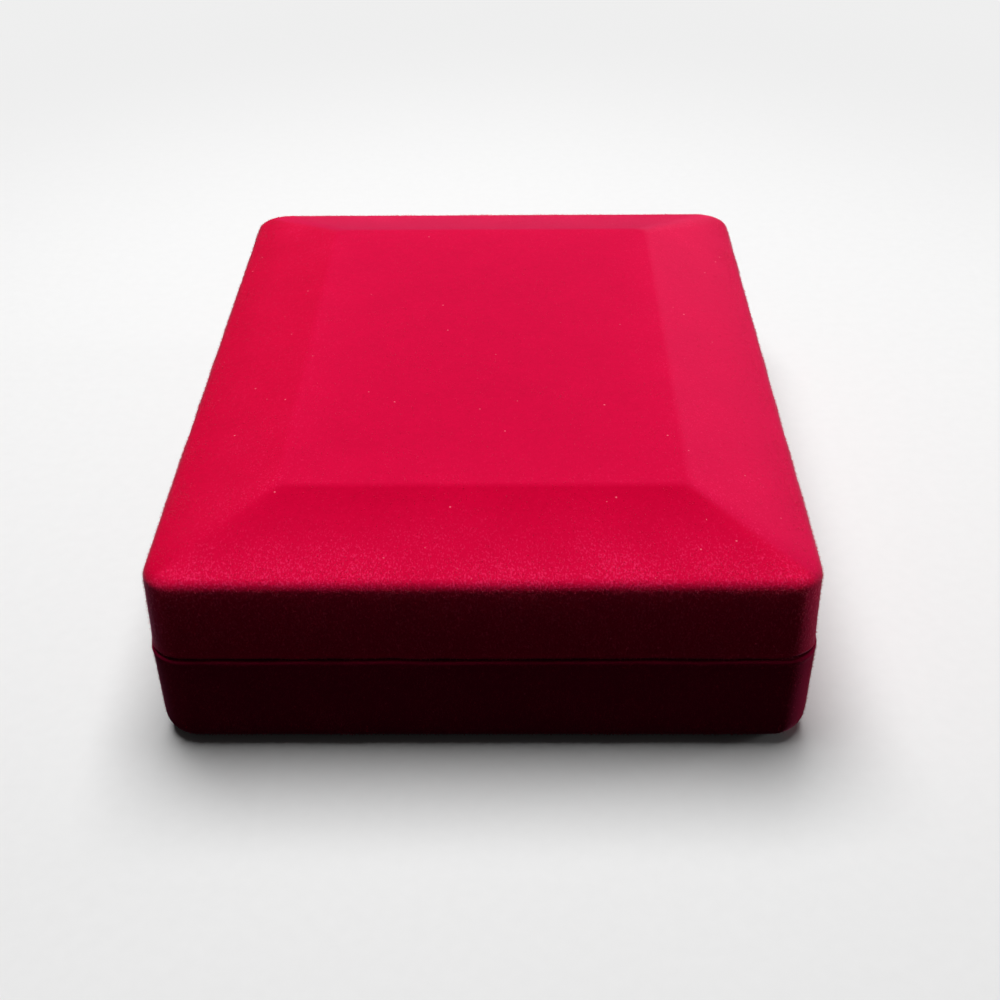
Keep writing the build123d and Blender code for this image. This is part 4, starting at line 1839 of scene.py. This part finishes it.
@dataclass
class Sweep:
    """A section carried along a path, with rounded ends.

    At each point the side direction is the given one less its share along the path, and up is
    the path's direction crossed with it. A section point (a, b) lies at side * a + up * b.
    """

    path: Array
    section: Array
    side: Triple
    end_round: float

    def mesh(self) -> tuple[Array, Array]:
        """The closed skin of the sweep.

        Returns:
            Its vertices and faces.
        """
        steps = arc_steps(0, 90, 5)
        tail, head = (
            end + (end - inner) / np.linalg.norm(end - inner)
            * self.end_round * (np.sin(angles)[:, None] - 1)
            for end, inner, angles in ((self.path[0], self.path[1], steps[::-1]),
                                       (self.path[-1], self.path[-2], steps)))
        size = np.concatenate([np.cos(steps[::-1]), np.ones(len(self.path) - 2), np.cos(steps)])
        path = np.concatenate([tail, self.path[1:-1], head])
        tangent = np.gradient(path, axis=0)
        tangent[0], tangent[-1] = self.path[1] - self.path[0], self.path[-1] - self.path[-2]
        tangent /= np.linalg.norm(tangent, axis=1, keepdims=True)
        side = np.array(self.side)[None] - tangent * (tangent @ np.array(self.side))[:, None]
        side /= np.linalg.norm(side, axis=1, keepdims=True)
        up = np.cross(tangent, side)
        offset = side[:, None] * self.section[None, :, :1] + up[:, None] * self.section[None, :, 1:]
        rings = path[:, None] + offset * size[:, None, None]
        return rings.reshape(-1, 3), grid_faces(*rings.shape[:2], closed=True)


def round_section(radius: float, count: int = 12) -> Array:
    """The points of a circle."""
    angle = np.arange(count) * 2 * math.pi / count
    return radius * np.stack([np.cos(angle), np.sin(angle)], axis=1)


def strap_section(width: float, thickness: float, count: int = 6, across: int = 8) -> Array:
    """The outline of a flat strap with half-round edges.

    Args:
        width: Its width.
        thickness: Its thickness.
        count: How many points each edge has.
        across: How many steps each flat has.

    Returns:
        The points.
    """
    turn = thickness / 2
    flat = width / 2 - turn
    points: Outline = []
    for side, start in ((1, -90), (-1, 90)):
        points += [(side * flat + turn * math.cos(angle), turn * math.sin(angle))
                   for angle in arc_steps(start, start + 180, count)]
        inner = spaced(side * flat, -side * flat, 2 * flat / across)[1:-1]
        points += [(x, side * turn) for x in inner]
    return np.array(points)


def rounded_path(corners: Sequence[Pair], radii: Sequence[float],
                 step: float = 0.25) -> Array:
    """A path of straight runs joined by tangent arcs, in a plane.

    Args:
        corners: The points where the runs would meet.
        radii: The radius at each inner corner.
        step: About how far apart the points of an arc are; those of a run are four times as far.

    Returns:
        The points.
    """
    marks = np.array(corners, float)
    points = [marks[0]]
    for before, corner, after, radius in zip(marks[:-2], marks[1:-1], marks[2:], radii):
        come = (corner - before) / np.linalg.norm(corner - before)
        leave = (after - corner) / np.linalg.norm(after - corner)
        turn = math.acos(float(np.clip(come @ leave, -1.0, 1.0)))
        start = corner - come * radius * math.tan(turn / 2)
        hand = np.sign(come[0] * leave[1] - come[1] * leave[0])
        centre = start + hand * radius * np.array([-come[1], come[0]])
        first = math.atan2(*(start - centre)[::-1])
        for angle in np.linspace(0, turn, max(3, int(radius * turn / step)) + 1):
            ahead = first + hand * angle
            points.append(centre + radius * np.array([math.cos(ahead), math.sin(ahead)]))
    points.append(marks[-1])
    dense = [points[0]]
    for near, far in zip(points[:-1], points[1:]):
        count = max(1, int(np.linalg.norm(far - near) / (4 * step)))
        dense += [near + (far - near) * (n + 1) / count for n in range(count)]
    return np.array(dense)


@dataclass
class Fittings:
    """The two necklace tabs and the ribbon that lifts the insert."""

    tab_thickness: float = 0.8
    tab_width: float = 6.0
    tab_bend: float = 1.1
    tab_arch: float = 1.5
    tab_foot: float = 0.1
    tab_end: float = 0.2
    ribbon_thickness: float = 0.3
    ribbon_clear: float = 0.05
    ribbon_foot: float = 0.2
    ribbon_bend: float = 2.6
    ribbon_shoulder: Pair = (5.5, 0.55)
    ribbon_shoulder_bend: float = 9.0
    ribbon_end: float = 0.1
    curl_length: float = 6.0
    curl_rise: float = 1.9
    hem_length: float = 3.4
    hem_bend: float = 0.24
    cup: float = 0.3

    def build_tab(self, name: str, side: int, node: str) -> Piece:
        """Builds one tab: a strap whose two ends go down through the cover.

        Between its ends it is arched by arch * (1 - (x / half) ** 2).

        Args:
            name: The piece's name.
            side: One on the right, minus one on the left.
            node: The node that it stands for.

        Returns:
            The piece.
        """
        low, high = node_box(node)
        middle = (low + high) / 2
        span = (high[0] - low[0]) * math.sqrt(2) - self.tab_width
        half = float(span - self.tab_thickness) / 2
        level, foot = float(high[2]) - self.tab_thickness / 2, float(low[2]) + self.tab_foot
        flat = rounded_path([(-half, foot), (-half, level), (half, level), (half, foot)],
                            [self.tab_bend, self.tab_bend])
        flat[:, 1] += self.tab_arch * np.maximum(1 - (flat[:, 0] / (half - self.tab_bend)) ** 2, 0)
        direction = np.array([1.0, -side]) / math.sqrt(2)
        path = np.concatenate([middle[:2] + flat[:, :1] * direction, flat[:, 1:]], axis=1)
        section = strap_section(self.tab_width, self.tab_thickness)
        sweep = Sweep(path, section, (direction[1], -direction[0], 0.0), self.tab_end)
        return make_piece(name, *sweep.mesh())

    def curl(self, start: Array) -> Array:
        """The ribbon's free end, which springs up as rise * share ** 2 and is hemmed under.

        Args:
            start: Where it leaves the pad, as Y and height.

        Returns:
            Its points: along the curl, round the fold and back under it.
        """
        share = np.linspace(0, 1, 19)[1:]
        slope = 2 * self.curl_rise / self.curl_length * share
        lift = start + np.stack([self.curl_length * share, self.curl_rise * share ** 2], axis=1)
        ahead = np.stack([np.ones_like(share), slope], axis=1)
        ahead /= np.linalg.norm(ahead, axis=1, keepdims=True)
        under = ahead[:, ::-1] * (1.0, -1.0)
        angle = arc_steps(0, 180, 9)[1:-1, None]
        turned = (1 - np.cos(angle)) * under[-1] + np.sin(angle) * ahead[-1]
        hemmed = share > 1 - self.hem_length / self.curl_length
        hem = (lift + 2 * self.hem_bend * under)[hemmed][::-1]
        return np.concatenate([lift, lift[-1] + self.hem_bend * turned, hem])

    def build_ribbon(self) -> tuple[Piece, Pair]:
        """Builds the lift ribbon, up the insert's front, over its crown and up at its free end.

        Its edges are cupped up at the free end, by cup * (x / half width) ** 2.

        Returns:
            The piece, and the ribbon's flat width and length in metres.
        """
        low, high = node_box("lift_ribbon")
        front = float(low[1]) + self.ribbon_thickness / 2 + self.ribbon_clear
        top = float(high[2]) - self.ribbon_thickness / 2
        rest = float(high[1]) - self.curl_length
        ahead, below = self.ribbon_shoulder
        flat = rounded_path([(front, float(low[2]) + self.ribbon_foot), (front, top - below),
                             (front + ahead, top), (rest, top)],
                            [self.ribbon_bend, self.ribbon_shoulder_bend])
        flat = np.concatenate([flat, self.curl(flat[-1])])
        path = np.concatenate([np.zeros((len(flat), 1)), flat], axis=1)
        width = float(high[0] - low[0])
        section = strap_section(width, self.ribbon_thickness, count=4, across=12)
        vertices, faces = Sweep(path, section, (-1.0, 0.0, 0.0), self.ribbon_end).mesh()
        free = np.clip((vertices[:, 1] - rest) / self.curl_length, 0.0, 1.0)
        vertices[:, 2] += self.cup * free * (vertices[:, 0] / (width / 2)) ** 2
        length = float(np.linalg.norm(np.diff(flat, axis=0), axis=1).sum())
        ribbon = make_piece("insert_ribbon", vertices, faces)
        return ribbon, (round(width, 2) * MM, round(length, 2) * MM)


@dataclass
class HingeSprings:
    """The torsion springs on the hinge pins, each one wire with a leg towards each leaf."""

    wire: float = 0.5
    wire_end: float = 0.08
    mean_radius: float = 1.2
    pitch: float = 0.95
    turns: int = 7
    leg: float = 1.0
    steps: int = 28

    def ends(self, side: str) -> tuple[Vector, Vector]:
        """Where the coil starts and ends on its pin.

        Args:
            side: Which hinge it is on.

        Returns:
            Both places, in metres.
        """
        low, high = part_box("hinge_pin_" + side)
        middle, half = (low + high) / 2, Vector((self.pitch * self.turns / 2 * MM, 0, 0))
        return middle - half, middle + half

    def build(self, side: str) -> Piece:
        """Builds one spring.

        The wire's centre at an angle is pitch * (angle / 2 pi - turns / 2) along the pin,
        -radius * cos(angle) across it and radius * sin(angle) up.

        Args:
            side: Which hinge it is on.

        Returns:
            The piece.
        """
        low, high = node_box("hinge_pin_" + side)
        angle = np.linspace(0, 2 * math.pi * self.turns, self.steps * self.turns + 1)
        coil = np.stack([self.pitch * (angle / (2 * math.pi) - self.turns / 2),
                         -self.mean_radius * np.cos(angle),
                         self.mean_radius * np.sin(angle)], axis=1)
        rise = np.array([self.pitch / (2 * math.pi), 0.0, self.mean_radius])
        lead = np.linspace(self.leg, self.leg / 4, 4)[:, None] * rise / np.linalg.norm(rise)
        path = np.concatenate([coil[0] - lead, coil, coil[-1] + lead[::-1]]) + (low + high) / 2
        sweep = Sweep(path, round_section(self.wire / 2), (1.0, 0.0, 0.0), self.wire_end)
        return make_piece("torsion_spring_" + side, *sweep.mesh())


@dataclass(frozen=True)
class Pile:
    """Single fibres that stand out of a flocked surface.

    A fibre is a narrow spike of three sides. It leaves its root along normal + lean * down, where
    down points down the wall, turned a little at random.
    """

    count: int
    length: float = 0.45
    length_shares: Pair = (0.55, 1.15)
    girth: float = 0.034
    lean: float = 0.5
    scatter: float = 0.45
    root_depth: float = 0.06

    def grow(self, name: str, shell: Piece, density: Callable[[Array, Array], Array],
             seed: int) -> Piece:
        """Scatters fibres over part of a shell.

        Args:
            name: The piece's name.
            shell: The shell that they stand on.
            density: Says, from the middles and normals of triangles, how dense the fibres are.
            seed: Which scatter it is.

        Returns:
            The fibres as one piece.
        """
        rng = np.random.default_rng(SEED + seed)
        mesh = shell.data
        mesh.calc_loop_triangles()
        index = np.empty(len(mesh.loop_triangles) * 3, np.int32)
        mesh.loop_triangles.foreach_get("vertices", index)
        corners = (points_of(mesh) / MM)[index.reshape(-1, 3)]
        cross = np.cross(corners[:, 1] - corners[:, 0], corners[:, 2] - corners[:, 0])
        area = np.linalg.norm(cross, axis=1) / 2
        normal = cross / np.maximum(area * 2, TINY)[:, None]
        share = area * density(corners.mean(axis=1), normal)
        chosen = rng.choice(len(share), self.count, p=share / share.sum())
        weights = rng.dirichlet((1.0, 1.0, 1.0), self.count)
        root, out = (corners[chosen] * weights[..., None]).sum(axis=1), normal[chosen]
        down = np.array([0.0, 0.0, -1.0]) - out * -out[:, 2:]
        stray = rng.normal(size=(self.count, 3)) * self.scatter
        direction = out + (down * self.lean + stray)
        direction /= np.linalg.norm(direction, axis=1, keepdims=True)
        long = self.length * rng.uniform(*self.length_shares, self.count)[:, None]
        side = np.cross(direction, rng.normal(size=(self.count, 3)))
        side /= np.linalg.norm(side, axis=1, keepdims=True)
        other = np.cross(direction, side)
        base = root - out * self.root_depth
        ring = [base + self.girth * (math.cos(a) * side + math.sin(a) * other)
                for a in np.arange(3) * 2 * math.pi / 3]
        spikes = np.stack([*ring, root + direction * long], axis=1)
        start = np.arange(self.count)[:, None, None] * 4
        pattern = np.array([[0, 1, 3], [1, 2, 3], [2, 0, 3], [0, 2, 1]])[None]
        faces = (start + pattern).reshape(-1, 3)
        piece = make_piece(name, spikes.reshape(-1, 3), faces, merge=0.0)
        mark(piece, fibre_height=np.tile([0.0, 0.0, 0.0, 1.0], self.count),
             fibre_shade=np.repeat(rng.uniform(0, 1, self.count), 4))
        return piece


@dataclass(frozen=True)
class Lamp:
    """A soft square lamp that points at the box. Its places and size are in metres."""

    name: str
    place: Triple
    size: float
    watts: float
    aim: Triple = (0.0, 0.0, 0.02)

    def build(self) -> None:
        """Hangs the lamp."""
        data = bpy.data.lights.new(self.name, "AREA")
        data.size = self.size
        data.energy = self.watts
        lamp = bpy.data.objects.new(self.name, data)
        lamp.location = self.place
        lamp.rotation_mode = "QUATERNION"
        ahead = Vector(self.aim) - Vector(self.place)
        lamp.rotation_quaternion = ahead.to_track_quat("-Z", "Y")
        bpy.context.scene.collection.objects.link(lamp)


@dataclass
class Studio:
    """The floor, the lamps, the backdrop and the camera of the photograph's view.

    Near the box the floor is lit by the lamps and takes its shadow. Further out it passes evenly
    into plain white, so that it has no horizon. Those distances are in metres.
    """

    focal_pixels: float = 1433.9
    frame_pixels: float = 1000.0
    camera_place: Triple = (6.5, -279.3, 199.7)
    pitch: float = 35.42
    yaw: float = -0.85
    roll: float = -0.61
    sensor: float = 36.0
    floor_reach: float = 3000.0
    floor_grain: float = 3.0
    floor_greys: Pair = (0.80, 0.83)
    floor_dim: float = 0.04
    glow_greys: Pair = (0.86, 1.0)
    glow_fade: Pair = (0.4, 2.2)
    floor_fade: Pair = (0.16, 0.42)
    room_light: float = 0.03
    lamps: tuple[Lamp, ...] = (Lamp("softbox", (-0.04, 0.17, 0.80), 0.60, 8.6),
                               Lamp("side_light", (0.61, 0.10, 0.030), 0.10, 1.6))

    def build_camera(self) -> None:
        """Puts the camera where the photograph's was, looking along its solved direction."""
        pitch, yaw, roll = (math.radians(a) for a in (self.pitch, self.yaw, self.roll))
        ahead = Vector((math.sin(yaw) * math.cos(pitch), math.cos(yaw) * math.cos(pitch),
                        -math.sin(pitch)))
        level = Vector((math.cos(yaw), -math.sin(yaw), 0.0))
        up = level.cross(ahead)
        right = math.cos(roll) * level + math.sin(roll) * up
        above = -math.sin(roll) * level + math.cos(roll) * up
        data = bpy.data.cameras.new("view")
        data.sensor_width = self.sensor
        data.lens = self.focal_pixels / self.frame_pixels * self.sensor
        data.clip_start, data.clip_end = 0.01, 20.0
        camera = bpy.data.objects.new("view", data)
        camera.matrix_world = Matrix((right, above, -ahead)).transposed().to_4x4()
        camera.location = Vector(self.camera_place) * MM
        bpy.context.scene.collection.objects.link(camera)
        bpy.context.scene.camera = camera

    def build_floor(self) -> None:
        """Lays the pale floor, which throws only a little light back up on the box."""
        unit = np.array([[-1, -1, 0], [1, -1, 0], [1, 1, 0], [-1, 1, 0]])
        floor = make_piece("floor", self.floor_reach * unit, np.array([[0, 1, 2, 3]]), merge=0.0)
        graph = Graph("pale_floor")
        grain = graph.noise(graph.place(), self.floor_grain)
        pale = graph.node("ShaderNodeBsdfDiffuse", None, {
            "Color": graph.blend(grain, *(grey(level) for level in self.floor_greys))})
        dim = graph.node("ShaderNodeBsdfDiffuse", None, {"Color": (*grey(self.floor_dim), 1.0)})
        away = graph.node("ShaderNodeVectorMath", {"operation": "LENGTH"}, {0: graph.place()},
                          output="Value")
        tint = graph.blend(away.ramp(*self.glow_fade), *(grey(level) for level in self.glow_greys))
        far = graph.node("ShaderNodeEmission", None, {"Color": tint})
        shown = graph.mixed(away.ramp(*self.floor_fade), pale, far)
        mixed = graph.mixed(graph.seen(), dim, shown)
        graph.node("ShaderNodeOutputMaterial", None, {"Surface": mixed})
        dress(floor, graph.owner)

    def build_world(self) -> None:
        """Lights the room faintly, and shows white behind it."""
        graph = Graph("room", world=True)
        dim, white = (graph.node("ShaderNodeBackground", None, {
            "Color": (*grey(1.0), 1.0), "Strength": strength})
            for strength in (self.room_light, 1.0))
        mixed = graph.mixed(graph.seen(), dim, white)
        graph.node("ShaderNodeOutputWorld", None, {"Surface": mixed})
        bpy.context.scene.world = graph.owner

    def build(self) -> None:
        """Builds the whole studio."""
        self.build_camera()
        self.build_floor()
        self.build_world()
        for lamp in self.lamps:
            lamp.build()
        bpy.context.scene.view_settings.view_transform = "Standard"


@dataclass
class Workshop:
    """Builds the box's sub-assemblies in order, dresses them and seats them on their bodies."""

    crimson: Velvet = Velvet("crimson_flock", (0.45, 0.0001, 0.021), (0.69, 0.0004, 0.040),
                             (1.0, 0.42, 0.66), sheen=0.42, sheen_width=0.36, lint=0.028)
    # Painted shade: the tub's flock is a darker copy of the lid's crimson.
    shaded_tub_crimson: Velvet = Velvet("shaded_tub_flock", (0.17, 0.0012, 0.020), (0.29, 0.0020, 0.038),
                                  (1.0, 0.40, 0.6), sheen=0.25, sheen_width=0.36, lint=0.02)
    collar_cloth: Velvet = Velvet("collar_velvet", (0.20, 0.001, 0.012), (0.55, 0.006, 0.05),
                                  (1.0, 0.12, 0.25), grain=0.3, mottle=14.0)
    pad_cloth: Velvet = Velvet("insert_velvet_cloth", (0.22, 0.001, 0.014), (0.60, 0.007, 0.055),
                               (1.0, 0.12, 0.25), grain=0.3, mottle=16.0)
    ivory: Satin = Satin("ivory_satin", (0.74, 0.68, 0.58), (0.92, 0.88, 0.80))
    tab_cloth: Velvet = Velvet("chain_tab_velvet", (0.13, 0.0008, 0.009), (0.40, 0.004, 0.035),
                               (1.0, 0.12, 0.25), grain=0.25, mottle=8.0)
    ribbon_satin: Satin = Satin("ribbon_satin", (0.74, 0.66, 0.53), (0.90, 0.84, 0.73), thread=0.11,
                                run=(1.0, 0.12, 1.0), cross=(0.2, 1.0, 1.0), selvedge=4.35)
    board: Card = Card("grey_board", (0.50, 0.45, 0.37), (0.30, 0.26, 0.21))
    brassed: PlatedSteel = PlatedSteel("brassed_steel", (0.78, 0.57, 0.25), (0.42, 0.28, 0.12))
    spring_steel: PlatedSteel = PlatedSteel("spring_wire_steel", (0.62, 0.60, 0.56),
                                            (0.30, 0.28, 0.26))
    # The paler tip colours of these fibres are painted sheen.
    tips: Nap = Nap("flock_tips", (0.66, 0.002, 0.05), (1.0, 0.08, 0.20), (1.0, 0.3, 0.5))
    pale_tips: Nap = Nap("skirt_flock_tips", (0.60, 0.01, 0.05), (1.0, 0.17, 0.27),
                         (1.0, 0.5, 0.6))
    # Painted shade: the tub's fibres are darker copies of the lid's.
    shaded_tub_tips: Nap = Nap("tub_flock_tips", (0.38, 0.001, 0.02), (0.75, 0.05, 0.12), (1.0, 0.3, 0.5))
    wall_pile: Pile = Pile(44000)
    roof_pile: Pile = Pile(30000, length=0.4, lean=0.25)
    skirt_pile: Pile = Pile(44000, length=0.5, girth=0.042, lean=-0.1, scatter=0.5)

    def build_shells(self) -> None:
        """Builds the tub and the lid with their flock."""
        shells, slot = FlockedShells(), Slot.CRIMSON_VELVET
        tub, case = shells.build("base_tub", Body.BASE), shells.build("lid_case", Body.LID)
        naps = (("tub_nap", self.wall_pile, tub, shells.on_walls, self.shaded_tub_tips, Body.BASE),
                ("roof_nap", self.roof_pile, case, shells.on_roof, self.tips, Body.LID),
                ("skirt_nap", self.skirt_pile, case, shells.on_walls, self.pale_tips, Body.LID))
        for seed, (name, pile, shell, density, finish, body) in enumerate(naps, start=31):
            settle(pile.grow(name, shell, density, seed), finish.build(), body, slot)
        settle(tub, self.shaded_tub_crimson.build(), Body.BASE, slot, "base_shell")
        settle(case, self.crimson.build(), Body.LID, slot, "lid_shell")

    def build_linings(self) -> None:
        """Builds the collar and the lid's satin strip."""
        linings = Linings()
        collar = linings.build("velvet_collar", "base_lining", seed=41)
        settle(collar, self.collar_cloth.build(), Body.BASE, Slot.LINING_VELVET, "base_lining")
        strip = linings.build("satin_strip", "lid_lining", seed=42)
        settle(strip, self.ivory.build(), Body.LID, Slot.LINING_SATIN, "lid_lining")

    def build_pads(self) -> None:
        """Builds the lid pad, the display insert and its ring rolls."""
        velvet, slot = self.pad_cloth.build(), Slot.INSERT_VELVET
        pad, display = LidPad().build(), InsertPad().build()
        settle(pad, self.ivory.build(), Body.LID, Slot.SATIN, "lid_pad_cover", "lid_pad_wadding")
        settle(display, velvet, Body.BASE, slot, "insert_cover", "insert_foam")
        for place, seed in (("front", 51), ("rear", 54)):
            node = "ring_roll_" + place
            roll = RingRolls().build("ring_slot_roll_" + place, node, seed)
            settle(roll, velvet, Body.BASE, slot, node)

    def build_fittings(self) -> None:
        """Builds the chain tabs and the lift ribbon."""
        fittings, strap = Fittings(), self.tab_cloth.build()
        for side, place in zip((-1, 1), SIDES):
            node = "necklace_tab_" + place
            tab = fittings.build_tab("chain_tab_" + place, side, node)
            settle(tab, strap, Body.BASE, Slot.INSERT_VELVET, node)
        ribbon, flat = fittings.build_ribbon()
        settle(ribbon, self.ribbon_satin.build(), Body.BASE, Slot.SATIN, "lift_ribbon")

    def build_hinges(self) -> None:
        """Builds the springs, and plates the hinge leaves, pins and rivets."""
        springs, plate, steel = HingeSprings(), self.brassed.build(), self.spring_steel.build()
        for side in SIDES:
            spring = springs.build(side)
            dress(spring, steel)
            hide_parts("hinge_spring_" + side)
            start, end = (tuple(place) for place in springs.ends(side))
            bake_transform(spring)
            for part in ("hinge_base_leaf_", "hinge_lid_leaf_", "hinge_pin_"):
                dress(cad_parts[part + side], plate)
        for group in ("hinge_rivets_base", "hinge_rivets_lid"):
            dress(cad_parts[group], plate)

    def dress_boards(self) -> None:
        """Gives the two card boards their finish."""
        card = self.board.build()
        for node in ("insert_board", "lid_pad_board"):
            dress(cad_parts[node], card)

    def run(self) -> None:
        """Builds everything."""
        for step in (self.build_shells, self.build_linings, self.build_pads, self.build_fittings,
                     self.build_hinges, self.dress_boards):
            step()
            LOG.info("%s is done", step.__name__)


def main() -> None:
    """Builds the box and its studio."""
    logging.basicConfig(level=logging.INFO, format="%(name)s: %(message)s")
    Studio().build()
    Workshop().run()


if __name__ == "__main__":
    main()
